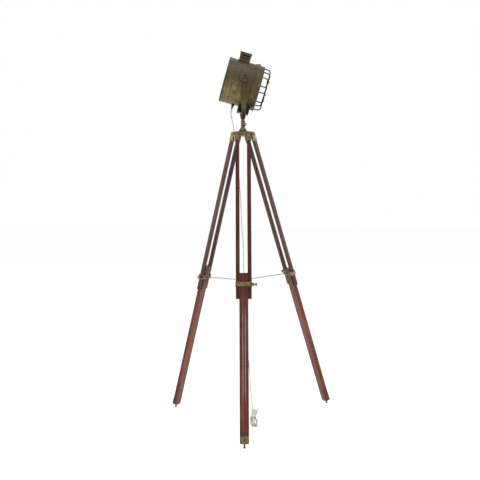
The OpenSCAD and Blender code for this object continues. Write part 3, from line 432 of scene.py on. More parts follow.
# %% Build the cord in two lengths
PLUG_LENGTH = 34 * MM
BOOT_LENGTH = 20 * MM
PLUG_MIDDLE = np.array([49, -40, 35.58]) * MM
PLUG_TURN = np.array(
    Matrix.Rotation(math.radians(-18), 3, "Z") @ Matrix.Rotation(math.radians(28), 3, "X"))
PINS_WAY = PLUG_TURN @ [0, 1, 0]
BOOT_END = PLUG_MIDDLE - (PLUG_LENGTH / 2 + BOOT_LENGTH) * PINS_WAY
CORD_IN_BOOT = 5 * MM

TAIL_ROUTE = np.vstack([
    np.array([[32, -99, 15.3], [33.6, -87.6, 16.1], [36.3, -79.1, 16.1], [37.6, -75.1, 16.7]]) * MM,
    BOOT_END,
    BOOT_END + CORD_IN_BOOT * PINS_WAY,
])
upper_path = HUB + smooth_route(UPPER_ROUTE)
lower_path = np.vstack([
    smooth_route(np.vstack([DROP_ROUTE, hank[:1]])),
    hank[1:-1],
    smooth_route(np.vstack([hank[-1:], TAIL_ROUTE])),
])
lower_path[:, 2] = np.maximum(lower_path[:, 2], LOWEST)
lower_path = HUB + lower_path

cord_upper = tube("cord_beside_fork", upper_path, CORD / 2)
cord_lower = tube("cord_inside_tripod", lower_path, CORD / 2)
print("cord lengths:", round(length_of(upper_path), 3), round(length_of(lower_path), 3))

# %% [markdown]
# ## Plug and gland
# The plug is one moulding: a flattened oval body that tapers into a ribbed boot. Its section is a
# superellipse, a shape between an oval and a box, whose half width and half thickness change
# along the plug. Two round pins stand in its nose, and the whole plug leans up and turns a little
# to the right. The gland under the drum is black rubber, turned with ribs that let it bend with
# the cord.

# %% Plug
def superellipse_loft(name, stations, middle, turn, around=40, power=3.0):
    """Carries a superellipse along its own Y. Each station is (y, half width w, half thickness t),
    and the section's point at angle a is (w * s(cos a), t * s(sin a)), where s(v) is
    sign(v) * |v| ** (2 / power). The turn matrix then leans the whole shape."""
    stations = np.asarray(stations, float)
    a = 2 * np.pi * np.arange(around) / around
    circle = np.stack([np.cos(a), np.sin(a)])
    section = np.sign(circle) * np.abs(circle) ** (2 / power)
    x = stations[:, 1:2] * section[0]
    z = stations[:, 2:3] * section[1]
    y = np.broadcast_to(stations[:, :1], x.shape)
    rings = np.stack([x, y, z], axis=-1)[:, ::-1].reshape(-1, 3) @ turn.T + middle
    points, quads = capped(rings, closed_grid(len(stations), around), around)
    return piece_from(name, points, quads)


PLUG_STATIONS = np.array([
    (-37, 2.3, 2.3), (-31, 2.7, 2.7), (-30.8, 3.3, 3.3), (-28.6, 3.3, 3.3), (-28.4, 2.8, 2.8),
    (-26, 3, 3), (-25.8, 3.7, 3.7), (-23.6, 3.8, 3.8), (-23.4, 3.2, 3.2), (-21, 3.6, 3.6),
    (-17, 5.4, 5), (-8.5, 9, 7.4), (0, 12, 8.3), (13.6, 12.5, 8.5), (16.5, 12.2, 8.2),
    (17, 11.6, 7.6),
]) * MM
plug_body = superellipse_loft("plug_body", PLUG_STATIONS, HUB + PLUG_MIDDLE, PLUG_TURN)

# %% Plug pins
PIN_SHIFT = 9.5 * MM
PIN_PROFILE = np.array([
    (2.2, -3), (2.2, 0), (2.0, 0.2), (2.0, 9.5), (2.2, 9.7), (2.2, 17.6), (1.4, 19),
]) * MM
pins = []
for name, shift in (("plug_pin_left", -PIN_SHIFT), ("plug_pin_right", PIN_SHIFT)):
    start = HUB + PLUG_MIDDLE + PLUG_TURN @ [shift, PLUG_LENGTH / 2, 0]
    pins.append(lathe(name, PIN_PROFILE, start, PINS_WAY, around=24))

# %% Gland
AXIS_BELOW_PIVOT = 10 * MM
gland_start = PIVOT - GLAND_BEHIND * FORWARD - AXIS_BELOW_PIVOT * UP
GLAND_PROFILE = np.array([
    (6.0, 92.6), (6.0, 93.4), (4.5, 93.5), (4.5, 95.6), (6.5, 95.7), (6.5, 98), (6.0, 102),
    (4.6, 102.4), (3.9, 103), (4.3, 103.2), (4.2, 104.8), (3.5, 105), (3.4, 106.4), (3.9, 106.6),
    (3.8, 108.2), (3.1, 108.4), (3.0, 109.8), (3.4, 110), (3.3, 111.6), (2.7, 111.8), (2.5, 115),
]) * MM
gland = lathe("ribbed_cord_gland", GLAND_PROFILE, gland_start, -UP, around=40)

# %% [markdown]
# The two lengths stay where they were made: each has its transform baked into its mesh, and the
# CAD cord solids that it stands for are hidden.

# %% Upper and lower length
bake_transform(cord_upper)
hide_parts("cord_upper")

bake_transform(cord_lower)
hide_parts("cord_drop", "cord_hank", "cord_tail")
print("the lower length turns with the fork only above",
      round(float(DROP_ROUTE[2, 2]), 3), "m")

# %% Plug, pins and gland
for made, body in ((plug_body, "hub"), (pins[0], "hub"), (pins[1], "hub"), (gland, "head")):
    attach(made, body)
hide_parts("plug")
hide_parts("cord_gland")

# %% [markdown]
# ## Rounded copies of the machined and joined pieces
# Real wood and sheet metal have small radii that catch the light. A CAD node is a bag of
# triangles with knife edges, so each such node is copied, its triangles are joined into flat
# faces, and a Bevel modifier rounds what is sharper than 35 degrees. The copy stands for the
# node. Planed wood gets more than a millimetre, and sheet brass gets half of one.

# %% Soften the edges of a node
SAME_POINT = 1e-6
SAME_FACE = math.radians(0.6)
SHARP = math.radians(35)
shown = dict(frame["nodes"])


def stand_for(piece, node):
    """The piece stands for the node: it rides on the node's body and takes its finish."""
    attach(piece, BODY_OF[node])
    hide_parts(node)
    shown[node] = piece


def soften(node, width, segments=2):
    """Copies a node's mesh, merges its loose triangles, and rounds each sharp edge by width."""
    source = frame["nodes"][node]
    copy = source.copy()
    copy.data = source.data.copy()
    copy.name = node + "_rounded"
    scene.collection.objects.link(copy)
    work = bmesh.new()
    work.from_mesh(copy.data)
    bmesh.ops.remove_doubles(work, verts=work.verts, dist=SAME_POINT)
    bmesh.ops.dissolve_limit(work, angle_limit=SAME_FACE, verts=work.verts, edges=work.edges)
    work.to_mesh(copy.data)
    work.free()
    if "custom_normal" in copy.data.attributes:
        copy.data.attributes.remove(copy.data.attributes["custom_normal"])
    copy.data.shade_smooth()
    bevel = copy.modifiers.new("rounded edges", "BEVEL")
    bevel.width = width
    bevel.segments = segments
    bevel.limit_method = "ANGLE"
    bevel.angle_limit = SHARP
    bevel.harden_normals = True
    stand_for(copy, node)


EDGE = {
    **{f"rails_{leg}": 1.2 * MM for leg in LEGS},
    **{f"lower_bar_{leg}": 1.5 * MM for leg in LEGS},
    **{f"ferrules_{leg}": 0.5 * MM for leg in LEGS},
    **{f"clamp_{leg}": 0.5 * MM for leg in LEGS},
    **{f"foot_plate_{leg}": 0.4 * MM for leg in LEGS},
    "hub_casting": 0.8 * MM,
    "fork": 0.7 * MM,
    "top_vent": 0.5 * MM,
    "top_vent_lid": 0.8 * MM,
    "bottom_vent": 0.5 * MM,
}
for node, width in EDGE.items():
    soften(node, width)
print(len(EDGE), "nodes have rounded edges")

# %% [markdown]
# ## Knobs
# The lock screws end in small cast knobs with a knurled rim, and the tilt knobs are larger, with
# a fluted rim for the palm. Both are turned shapes: a profile goes once round its axis, and on
# the rim the radius swells and shrinks a little as it goes.

# %% Lock screws
def turned_knob(node, ending, joint, profile, around, ripple, teeth):
    """Turns a profile about a joint's axis, where height 0 is the joint's own place."""
    place = np.array(JOINTS[joint]["pos_m"])
    axis = np.array(JOINTS[joint]["axis"], float)
    knob = lathe(node + ending, profile, place, axis, around=around, ripple=ripple, teeth=teeth)
    stand_for(knob, node)


LOCK_SCREWS = {"pan_screw": ("pan_lock_turn", 6.3, 11.0)}
LOCK_SCREWS.update({f"clamp_screw_{leg}": (f"leg_lock_{leg}_turn", 32.65, 47.8) for leg in LEGS})
KNURL = [0] * 6 + [0.05] * 2 + [0] * 4
for node, (joint, tip, seat) in LOCK_SCREWS.items():
    profile = np.array([
        (1.6, tip), (2.5, tip + 0.9), (2.5, seat), (3.9, seat), (4.2, seat + 0.8),
        (6.2, seat + 1.5), (6.5, seat + 2.1), (6.5, seat + 4.9), (6.2, seat + 5.5),
        (4.9, seat + 6.2), (4.5, seat + 6.8), (2.0, seat + 7.0),
    ]) * MM
    turned_knob(node, "_knurled", joint, profile, around=96, ripple=KNURL, teeth=24)

# %% Tilt knobs
FORK_FACE = 108.3
TILT_KNOB = np.array([
    (10.4, FORK_FACE), (11, FORK_FACE + 0.4), (11, FORK_FACE + 2), (14, FORK_FACE + 2.2),
    (17, FORK_FACE + 3), (18, FORK_FACE + 4.4), (18, FORK_FACE + 9.4), (17.2, FORK_FACE + 11.2),
    (15, FORK_FACE + 12.4), (11.5, FORK_FACE + 13), (9.5, FORK_FACE + 12.6),
    (8.8, FORK_FACE + 11.6), (5.5, FORK_FACE + 11.4), (5.1, FORK_FACE + 12.2),
    (4.4, FORK_FACE + 12.9), (2, FORK_FACE + 13),
]) * MM
FLUTES = [0] * 4 + [0.01, 0.028, 0.028, 0.012] + [0] * 8
for where in ("near", "far"):
    turned_knob(f"tilt_knob_{where}", "_fluted", f"tilt_lock_{where}_turn", TILT_KNOB,
                around=160, ripple=FLUTES, teeth=20)

# %% [markdown]
# ## Wood
# The legs are a dark reddish hardwood, planed and finished with a satin lacquer. Up close, wood
# is long fibres with darker pores between them, and wider bands where the board crosses the
# growth rings. All three run along the leg, so the pattern's own Z axis is turned to lie along
# each leg, and the noise is stretched many times longer than it is wide. Real fibres are finer
# than the render can show, so they are drawn about three times as coarse.

# %% Grain along a leg
def leg_place(node, leg):
    """The turn from frame axes to leg axes (x outwards, y along the hinge bolt, z up the leg) and
    the shift that then puts the middle of the node's foot at the origin."""
    up = Vector(JOINTS[f"slide_{leg}"]["axis"]).normalized()
    bolt = Vector(JOINTS[f"fold_{leg}"]["axis"]).normalized()
    turn = Matrix((bolt.cross(up), bolt, up))
    places = points_of(node) @ np.array(turn).T
    low, high = places.min(axis=0), places.max(axis=0)
    return turn.to_euler(), tuple(-np.array([*(low + high)[:2] / 2, low[2]]))


def stretched(tree, vector, across_mm, along_mm, detail=3.0, distortion=0.0):
    """Noise whose grains are across_mm wide in x and y and along_mm long in z."""
    scale = (1 / (across_mm * MM), 1 / (across_mm * MM), 1 / (along_mm * MM))
    sized = add(tree, "ShaderNodeVectorMath", {0: vector, 1: scale}, operation="MULTIPLY")
    return add(tree, "ShaderNodeTexNoise", {
        "Vector": sized, "Scale": 1.0, "Detail": detail, "Distortion": distortion})


for leg in LEGS:
    lean = leg_place(f"rails_{leg}", leg)[0]
    print("the", leg, "leg's grain is turned by", [round(math.degrees(v), 1) for v in lean])

# %% [markdown]
# ## The flute's painted highlights
# Each lower bar has a stopped flute down its outer face. Both slopes of the flute carry a painted
# highlight, two pale lines that end in points. They are drawn from the distance to the bar's
# middle line, and they narrow over the last centimetres at each end.

# %% Painted highlights on the flute
FLUTE_FOOT = 142 * MM
FLUTE_TOP = 547 * MM
FLUTE_SLOPE = 5.2 * MM
LINE_TAPER = 60 * MM
LINE_HALF = 1.9 * MM
OUTER_FACE = 5 * MM


def painted_flute_highlight(tree, on_leg):
    """1 where the distance from the middle line is within the line's half width of FLUTE_SLOPE,
    fading to 0 in a millimetre and a half. The half width falls to 0 at the flute's ends."""
    out = add(tree, "ShaderNodeSeparateXYZ", {0: on_leg}, "X")
    across = add(tree, "ShaderNodeSeparateXYZ", {0: on_leg}, "Y")
    along = add(tree, "ShaderNodeSeparateXYZ", {0: on_leg}, "Z")
    from_middle = add(tree, "ShaderNodeMath", {0: across}, operation="ABSOLUTE")
    signed = add(tree, "ShaderNodeMath", {0: from_middle, 1: FLUTE_SLOPE}, operation="SUBTRACT")
    away = add(tree, "ShaderNodeMath", {0: signed}, operation="ABSOLUTE")
    foot_end = add(tree, "ShaderNodeMapRange", {
        "Value": along, "From Min": FLUTE_FOOT, "From Max": FLUTE_FOOT + LINE_TAPER,
        "To Max": LINE_HALF})
    top_end = add(tree, "ShaderNodeMapRange", {
        "Value": along, "From Min": FLUTE_TOP - LINE_TAPER, "From Max": FLUTE_TOP,
        "To Min": LINE_HALF, "To Max": 0.0})
    width = add(tree, "ShaderNodeMath", {0: foot_end, 1: top_end}, operation="MINIMUM")
    beyond = add(tree, "ShaderNodeMath", {0: away, 1: width}, operation="SUBTRACT")
    line = add(tree, "ShaderNodeMapRange", {
        "Value": beyond, "From Min": -1.2 * MM, "From Max": 0.3 * MM, "To Min": 1.0, "To Max": 0.0})
    outer = add(tree, "ShaderNodeMapRange", {
        "Value": out, "From Min": OUTER_FACE, "From Max": 6 * MM})
    return add(tree, "ShaderNodeMath", {0: line, 1: outer}, operation="MULTIPLY")


print("the pale lines are", round((FLUTE_TOP - FLUTE_FOOT) * 1000), "mm long")

# %% [markdown]
# ## Lacquered hardwood
# The wood's colour comes from bands and fibres together, and the pores are near black pits in it.
# A thin coat of lacquer lies over the grain: it is a little duller where the grain is dark, and
# the fibres still show through it as a faint relief. Around the clamps, where the bar runs between
# the rails, the wood is painted darker: painted shade.

# %% Lacquered hardwood
# heights in metres where the wood is painted darker: painted shade between the rails
SHEATH_SHADE_FROM, SHEATH_SHADE_FULL, SHEATH_SHADE_UNTIL, SHEATH_SHADE_END = 0.56, 0.6, 0.67, 0.76


def lacquered_hardwood(name, node, leg, dark, middle, light, fluted=False):
    """Stained wood under satin lacquer. Dark, middle and light are the colours of the grain, and
    between the heights set above, in metres above the floor, the dark one covers the other two as
    painted shade. On a fluted bar the flute's slopes get a painted highlight."""
    made, tree = empty_material(name)
    place = add(tree, "ShaderNodeTexCoord", output="Object")
    turn, shift = leg_place(node, leg)
    turned = add(tree, "ShaderNodeMapping", {"Vector": place, "Location": shift, "Rotation": turn})
    bands = stretched(tree, turned, across_mm=9, along_mm=260, distortion=0.6)
    fibres = stretched(tree, turned, across_mm=1.6, along_mm=60, detail=4)
    pores = stretched(tree, turned, across_mm=0.9, along_mm=14, detail=1)
    grain = add(tree, "ShaderNodeMix", {"Factor": 0.45, "A": bands, "B": fibres}, "Result")
    colour = add(tree, "ShaderNodeValToRGB", {0: grain},
                 stops=((0.38, dark), (0.5, middle), (0.62, light)))
    # painted shade: the dark grain colour laid over the wood between the heights above
    height = add(tree, "ShaderNodeSeparateXYZ", {0: place}, "Z")
    above = add(tree, "ShaderNodeMapRange", {
        "Value": height, "From Min": SHEATH_SHADE_FROM, "From Max": SHEATH_SHADE_FULL, "To Max": 0.5})
    below = add(tree, "ShaderNodeMapRange", {
        "Value": height, "From Min": SHEATH_SHADE_UNTIL, "From Max": SHEATH_SHADE_END,
        "To Min": 1.0, "To Max": 0.3})
    sheath_shade = add(tree, "ShaderNodeMath", {0: above, 1: below}, operation="MULTIPLY")
    wood_with_painted_light = add(tree, "ShaderNodeMix", {
        "Factor": sheath_shade, "A": colour, "B": linear(dark)}, "Result", data_type="RGBA")
    # painted highlight: pale lines on the flute's slopes, where they would catch the light
    if fluted:
        lines = painted_flute_highlight(tree, turned)
        rubbed = add(tree, "ShaderNodeMath", {0: lines, 1: 0.55}, operation="MULTIPLY")
        wood_with_painted_light = add(tree, "ShaderNodeMix", {
            "Factor": rubbed, "A": wood_with_painted_light, "B": linear("#c2aca2")}, "Result", data_type="RGBA")
    pits = add(tree, "ShaderNodeMapRange", {
        "Value": pores, "From Min": 0.6, "From Max": 0.72, "To Max": 0.6})
    shaded = add(tree, "ShaderNodeMix", {
        "Factor": pits, "A": wood_with_painted_light, "B": linear("#1d0d08")}, "Result", data_type="RGBA")
    roughness = add(tree, "ShaderNodeMapRange", {
        "Value": grain, "From Min": 0.3, "From Max": 0.7, "To Min": 0.46, "To Max": 0.34})
    relief = add(tree, "ShaderNodeMix", {"Factor": 0.5, "A": fibres, "B": pores}, "Result")
    bump = add(tree, "ShaderNodeBump", {"Height": relief, "Strength": 0.25, "Distance": 0.3 * MM})
    shader = add(tree, "ShaderNodeBsdfPrincipled", {
        "Base Color": shaded, "Roughness": roughness, "Normal": bump,
        "Specular IOR Level": 0.25, "Coat Weight": 0.08, "Coat Roughness": 0.3})
    add(tree, "ShaderNodeOutputMaterial", {"Surface": shader})
    return made


def finish(material, *nodes):
    """Gives a material to every slot of these nodes, or of the pieces that stand for them."""
    for node in nodes:
        piece = shown[node]
        if not piece.material_slots:
            piece.data.materials.append(material)
        for place in piece.material_slots:
            place.material = material
    print(material.name, "on", ", ".join(nodes))

# %% [markdown]
# ## Stain and painted light of each board
# Every board has its own three colours, from the dark grain to the light, and on each leg the
# rails are darker than the sliding bar between them. The side legs are painted lighter and warmer
# than the front leg: painted light, for the sheen that their faces catch from the side lamps.

# %% Stain and painted light of each board
RAIL_STAIN_AND_LIGHT = {
    "front": ("#260d06", "#441b0f", "#62301f"),
    "left": ("#2a0f07", "#502417", "#6e3a28"),
    "right": ("#2c1008", "#532619", "#723d2a"),
}
BAR_STAIN_AND_LIGHT = {
    "front": ("#2f1209", "#5a2b1a", "#7e4834"),
    "left": ("#401b0e", "#763d29", "#a06249"),
    "right": ("#421c0f", "#7a402c", "#a5664d"),
}
for leg in LEGS:
    rails, bar = f"rails_{leg}", f"lower_bar_{leg}"
    # satin wood: soft highlights along each edge, and grain that runs the length of the leg
    rail_wood = lacquered_hardwood(
        f"dark lacquered hardwood, {leg} rails", rails, leg, *RAIL_STAIN_AND_LIGHT[leg])
    bar_wood = lacquered_hardwood(
        f"dark lacquered hardwood, {leg} bar", bar, leg, *BAR_STAIN_AND_LIGHT[leg], fluted=True)
    finish(rail_wood, rails)
    finish(bar_wood, bar)

# %% [markdown]
# ## Brass
# The fittings are cast or sheet brass with an antique finish: the metal is darkened in a bath and
# then rubbed back, which leaves soft patches, half a centimetre to a centimetre wide, and small
# dark specks. Real specks are tenths of a millimetre, and they are drawn coarser so that they
# show. The colour is darker where surfaces crowd together, in the corners and under other pieces:
# partly the bath's brown that a hand or a cloth doesn't reach, and partly painted shade. A metal's
# colour is in its reflection, so these are metallic, but a darkened skin is partly dull, so the
# metallic value stays below one.

# %% Rubbed metal
SPECK_MM = 1.6
CORNER_SHADE_MM = 9


def rubbed_metal(name, dark, base, bright, metallic, roughness, patch_mm):
    """Metal darkened and rubbed back. Patches and specks together choose between the dark, base
    and bright colours, and make the skin duller where it is darker."""
    made, tree = empty_material(name)
    place = add(tree, "ShaderNodeTexCoord", output="Object")
    patches = stretched(tree, place, patch_mm, patch_mm, detail=4, distortion=0.4)
    specks = stretched(tree, place, SPECK_MM, SPECK_MM, detail=2)
    skin = add(tree, "ShaderNodeMix", {"Factor": 0.35, "A": patches, "B": specks}, "Result")
    colour = add(tree, "ShaderNodeValToRGB", {0: skin},
                 stops=((0.36, dark), (0.5, base), (0.64, bright)))
    # painted shade, with the bath's brown: darker in corners and under other pieces
    openness = add(tree, "ShaderNodeAmbientOcclusion", {"Distance": CORNER_SHADE_MM * MM}, "AO",
                   samples=8)
    corners = add(tree, "ShaderNodeMapRange", {
        "Value": openness, "From Min": 0.35, "From Max": 0.95, "To Min": 0.85, "To Max": 0.0})
    shaded = add(tree, "ShaderNodeMix", {
        "Factor": corners, "A": colour, "B": linear(dark)}, "Result", data_type="RGBA")
    dull = add(tree, "ShaderNodeMapRange", {
        "Value": skin, "From Min": 0.35, "From Max": 0.65,
        "To Min": roughness + 0.1, "To Max": roughness - 0.07})
    bump = add(tree, "ShaderNodeBump", {"Height": specks, "Strength": 0.2, "Distance": 0.15 * MM})
    shader = add(tree, "ShaderNodeBsdfPrincipled", {
        "Base Color": shaded, "Metallic": metallic, "Roughness": dull, "Normal": bump})
    add(tree, "ShaderNodeOutputMaterial", {"Surface": shader})
    return made

# %% Cast and sheet brass
# cast: olive brown hollows between worn, lighter ridges
antique = rubbed_metal("antique brass casting", "#2a2215", "#64583a", "#8b7d56", 0.75, 0.38, 12)
# rolled sheet: a flatter, more even version of the same bath
ferrule = rubbed_metal("antique brass sheet", "#3a3020", "#6c5f42", "#8b7c58", 0.7, 0.4, 10)
# never darkened, and lacquered while bright: the one warm gold spot of the lamp
golden = rubbed_metal("lacquered gold brass", "#6a4820", "#a57c3a", "#cfa85c", 0.85, 0.3, 8)
# hands polish the clamp knobs, so they shine more than the bands under them
clamp_knob = rubbed_metal("antique brass knob", "#4c4028", "#7c6c46", "#a08e62", 0.8, 0.34, 6)
# drawn wire: thin bright lines where the links turn to the light
chain = rubbed_metal("antique brass wire", "#4a3f28", "#7c6f4c", "#a0936c", 0.8, 0.36, 6)
# turned and milled: the same brown, with crisp light on the flats
fasteners = rubbed_metal("darkened brass fasteners", "#3c3020", "#6c5c3c", "#8e7e54", 0.8, 0.38, 6)
finish(antique, "hub_casting", "fork_stem")
finish(ferrule, *(f"ferrules_{leg}" for leg in LEGS), *(f"clamp_{leg}" for leg in LEGS),
       *(f"foot_plate_{leg}" for leg in LEGS), "hinge_leaf", "hinge_pin")
finish(golden, "pan_screw")
finish(clamp_knob, *(f"clamp_screw_{leg}" for leg in LEGS))
finish(chain, *(f"chain_{leg}" for leg in LEGS))
finish(fasteners, "hinge_bolts", "hinge_nuts", "stem_nut", "trunnion_bolts")

# %% Browned, blackened and plated metal
# blackened in oil: nearly no colour, and a dull grey light on its edges
spike_steel = rubbed_metal("blackened steel spike", "#241f1a", "#443e34", "#655d4e", 0.8, 0.42, 5)
# a thick brown skin with little bare metal in it, so it reads more brown than brass
knob_brown = rubbed_metal("browned brass knob", "#281d13", "#46382a", "#5f5040", 0.6, 0.4, 9)
# the same skin on steel wire: dark bars in front of the pale glass
guard_steel = rubbed_metal("browned steel wire", "#1c1510", "#33281f", "#4c3e33", 0.6, 0.42, 12)
# plated and polished: small pale sparks on the guard
pale_brass = rubbed_metal("pale nickelled brass", "#8c7c68", "#b4a896", "#d8d0c2", 0.85, 0.25, 6)
# bare rolled steel: clean, neutral grey
spring = rubbed_metal("spring steel", "#6c6c68", "#94948e", "#b8b8b2", 0.9, 0.3, 8)
finish(spike_steel, *(f"spike_{leg}" for leg in LEGS), "rear_rivets")
finish(knob_brown, "tilt_knob_near", "tilt_knob_far")
finish(guard_steel, "wire_guard")
finish(pale_brass, "guard_nuts")
finish(spring, "glass_clips", "door_catch", "holder_bracket")

# %% [markdown]
# ## The drum
# The drum is rolled sheet with a bronze finish that was brushed round and round as it turned.
# Each brush line follows the drum's rim, so the noise is fine along the drum's axis and long
# across it. Real brush lines are tenths of a millimetre wide, and they are drawn ten times as
# coarse so that they show. Wider rings, some lighter and some browner, come from the rolling. The
# upper side is painted greyer and darker as painted shade, and on the fork this is the painted
# shadow under the tilt knob; the lower side keeps more of its olive bronze. Towards the front the
# metal is painted browner: painted shade beside the tilt knob. The outer edges are painted bright,
# partly for the wear of handling and partly as a painted highlight, and those edges are found by
# looking a millimetre or more into the metal. Where other surfaces come close, the colour is
# painted darker: painted shade.

# %% Places on the drum
def on_drum(tree):
    """Object coordinates in the drum's own axes: x to the left, y up, z forwards along the drum,
    with the origin on its axis beside the pivot."""
    rotation = Matrix((Vector((0, 1, 0)), Vector(UP), Vector(FORWARD))).to_euler()
    place = add(tree, "ShaderNodeTexCoord", output="Object")
    centred = add(tree, "ShaderNodeVectorMath", {0: place, 1: tuple(DRUM_AXIS)},
                  operation="SUBTRACT")
    return add(tree, "ShaderNodeMapping", {"Vector": centred, "Rotation": rotation})


print("the drum's axis passes through", DRUM_AXIS.round(4))

# %% Brushed bronze
# painted shade: where along the drum the front turns browner, and how far the upper side's painted
# shade fades in
FRONT_SHADE_FROM, FRONT_SHADE_FULL = -25 * MM, 40 * MM
TOP_SHADE_OVER_MM = 90


def brushed_bronze(name, dark, base, bright, top,
                   roughness=0.38, band_mm=3.0, top_shade_from_mm=-20, worn_edge_highlight_mm=1.2):
    """Bronze sheet brushed round the drum. Brush lines, rings, patches and specks choose between
    dark, base and bright. The top colour is painted shade over the upper side from the given
    height, the front and the corners are painted darker as shade, and edges within the given width
    are painted bright, partly as wear and partly as a painted highlight."""
    made, tree = empty_material(name)
    turned = on_drum(tree)
    brushing = stretched(tree, turned, across_mm=130, along_mm=band_mm, detail=5)
    rings = stretched(tree, turned, across_mm=400, along_mm=9, detail=1)
    patches = stretched(tree, turned, 24, 24, detail=5, distortion=0.5)
    specks = stretched(tree, turned, 1.8, 1.8, detail=2)
    bands = add(tree, "ShaderNodeMix", {"Factor": 0.4, "A": brushing, "B": rings}, "Result")
    cloudy = add(tree, "ShaderNodeMix", {"Factor": 0.55, "A": bands, "B": patches}, "Result")
    skin = add(tree, "ShaderNodeMix", {"Factor": 0.3, "A": cloudy, "B": specks}, "Result")
    colour = add(tree, "ShaderNodeValToRGB", {0: skin},
                 stops=((0.36, dark), (0.5, base), (0.64, bright)))
    # painted shade: browner towards the front, beside the tilt knob
    forward = add(tree, "ShaderNodeSeparateXYZ", {0: turned}, "Z")
    front_shade = add(tree, "ShaderNodeMapRange", {
        "Value": forward, "From Min": FRONT_SHADE_FROM, "From Max": FRONT_SHADE_FULL, "To Max": 0.55})
    front_shaded = add(tree, "ShaderNodeMix", {"Factor": front_shade, "A": colour, "B": linear(dark)}, "Result",
                data_type="RGBA")
    # painted shade: the top colour laid over the upper side; on the fork, the painted shadow under
    # the tilt knob
    height = add(tree, "ShaderNodeSeparateXYZ", {0: turned}, "Y")
    top_shade = add(tree, "ShaderNodeMapRange", {
        "Value": height, "From Min": top_shade_from_mm * MM,
        "From Max": (top_shade_from_mm + TOP_SHADE_OVER_MM) * MM, "To Max": 0.75})
    top_shaded = add(tree, "ShaderNodeMix", {"Factor": top_shade, "A": front_shaded, "B": linear(top)}, "Result",
                data_type="RGBA")
    # painted shade: darker where other surfaces come close
    openness = add(tree, "ShaderNodeAmbientOcclusion", {"Distance": 10 * MM}, "AO", samples=8)
    corners = add(tree, "ShaderNodeMapRange", {
        "Value": openness, "From Min": 0.3, "From Max": 0.9, "To Min": 0.75, "To Max": 0.0})
    shaded = add(tree, "ShaderNodeMix", {
        "Factor": corners, "A": top_shaded, "B": linear(dark)}, "Result", data_type="RGBA")
    # painted highlight, with the wear of handling: the outer edges painted bright
    depth = add(tree, "ShaderNodeAmbientOcclusion", {"Distance": worn_edge_highlight_mm * MM}, "AO", samples=8,
                inside=True, only_local=True)
    edges = add(tree, "ShaderNodeMapRange", {
        "Value": depth, "From Min": 0.5, "From Max": 0.85, "To Min": 0.6, "To Max": 0.0})
    rubbed = add(tree, "ShaderNodeMix", {
        "Factor": edges, "A": shaded, "B": linear(bright)}, "Result", data_type="RGBA")
    dull = add(tree, "ShaderNodeMapRange", {
        "Value": skin, "From Min": 0.35, "From Max": 0.65,
        "To Min": roughness + 0.1, "To Max": roughness - 0.06})
    relief = add(tree, "ShaderNodeMix", {"Factor": 0.3, "A": brushing, "B": specks}, "Result")
    bump = add(tree, "ShaderNodeBump", {"Height": relief, "Strength": 0.25, "Distance": 0.25 * MM})
    shader = add(tree, "ShaderNodeBsdfPrincipled", {
        "Base Color": rubbed, "Metallic": 0.7, "Roughness": dull, "Normal": bump})
    add(tree, "ShaderNodeOutputMaterial", {"Surface": shader})
    return made

# %% Drum, door, vents and fork
# olive bronze whose brush lines stretch the highlight along the drum; its top colour is painted
# shade
drum = brushed_bronze("brushed olive bronze", "#33291a", "#6d613f", "#96885c", "#483b30",
                      top_shade_from_mm=-65)
# the same, with finer lines, since the door ring was brushed by itself; its top colour is painted
# shade
door = brushed_bronze("brushed olive bronze, door", "#332918", "#6c5f3c", "#8f8256", "#524637",
                      band_mm=2.5)
# behind the bulb, and least handled: dark and dull
cover = brushed_bronze("dark bronze cover", "#241e14", "#40382a", "#5c5340", "#463e34",
                       roughness=0.42)
# hot air passes here, so the bath's brown is baked on
vents = brushed_bronze("brown bronze vent", "#261d15", "#483c2f", "#655848", "#4e4236",
                       roughness=0.42)
# in the drum's own shade, and darker still
low_vent = brushed_bronze("dark brown bronze vent", "#1a1510", "#2d261f", "#443b32", "#342c25")
# bent from thick bar: edges painted bright, partly wear and partly a painted highlight, round a top
# painted dark brown as the painted shadow under the tilt knob
bow = brushed_bronze("brushed bronze fork", "#30271a", "#75693f", "#a09265", "#33291a",
                     top_shade_from_mm=-140, worn_edge_highlight_mm=2.2)
finish(drum, "drum_shell")
finish(door, "door_ring")
finish(cover, "rear_cover")
finish(vents, "top_vent", "top_vent_lid")
finish(low_vent, "bottom_vent")
finish(bow, "fork")

# %% [markdown]
# ## Glass
# The front glass is clear float glass, a little green at its edge. The bulb is opal glass, which
# glows through from behind.

# %% Clear and opal glass
def clear_glass():
    """Float glass: a sharp reflection, dimmed in patches by a thin powdery film."""
    made, tree = empty_material("clear float glass")
    place = add(tree, "ShaderNodeTexCoord", output="Object")
    film = stretched(tree, place, 40, 40, detail=3)
    roughness = add(tree, "ShaderNodeMapRange", {
        "Value": film, "From Min": 0.4, "From Max": 0.7, "To Min": 0.01, "To Max": 0.06})
    shader = add(tree, "ShaderNodeBsdfPrincipled", {
        "Base Color": linear("#eef6f2"), "Roughness": roughness, "IOR": 1.5,
        "Transmission Weight": 1.0})
    add(tree, "ShaderNodeOutputMaterial", {"Surface": shader})
    return made


def opal_glass():
    """Glass with a white skin inside: light spreads in it, and a clear coat shines over it."""
    made, tree = empty_material("opal glass")
    place = add(tree, "ShaderNodeTexCoord", output="Object")
    cloud = stretched(tree, place, 14, 14, detail=2)
    colour = add(tree, "ShaderNodeValToRGB", {0: cloud}, stops=((0.3, "#ddd7cb"), (0.7, "#ece9e1")))
    shader = add(tree, "ShaderNodeBsdfPrincipled", {
        "Base Color": colour, "Roughness": 0.3, "IOR": 1.5, "Subsurface Weight": 0.4,
        "Subsurface Radius": (0.01, 0.008, 0.006), "Coat Weight": 0.5, "Coat Roughness": 0.08})
    add(tree, "ShaderNodeOutputMaterial", {"Surface": shader})
    return made


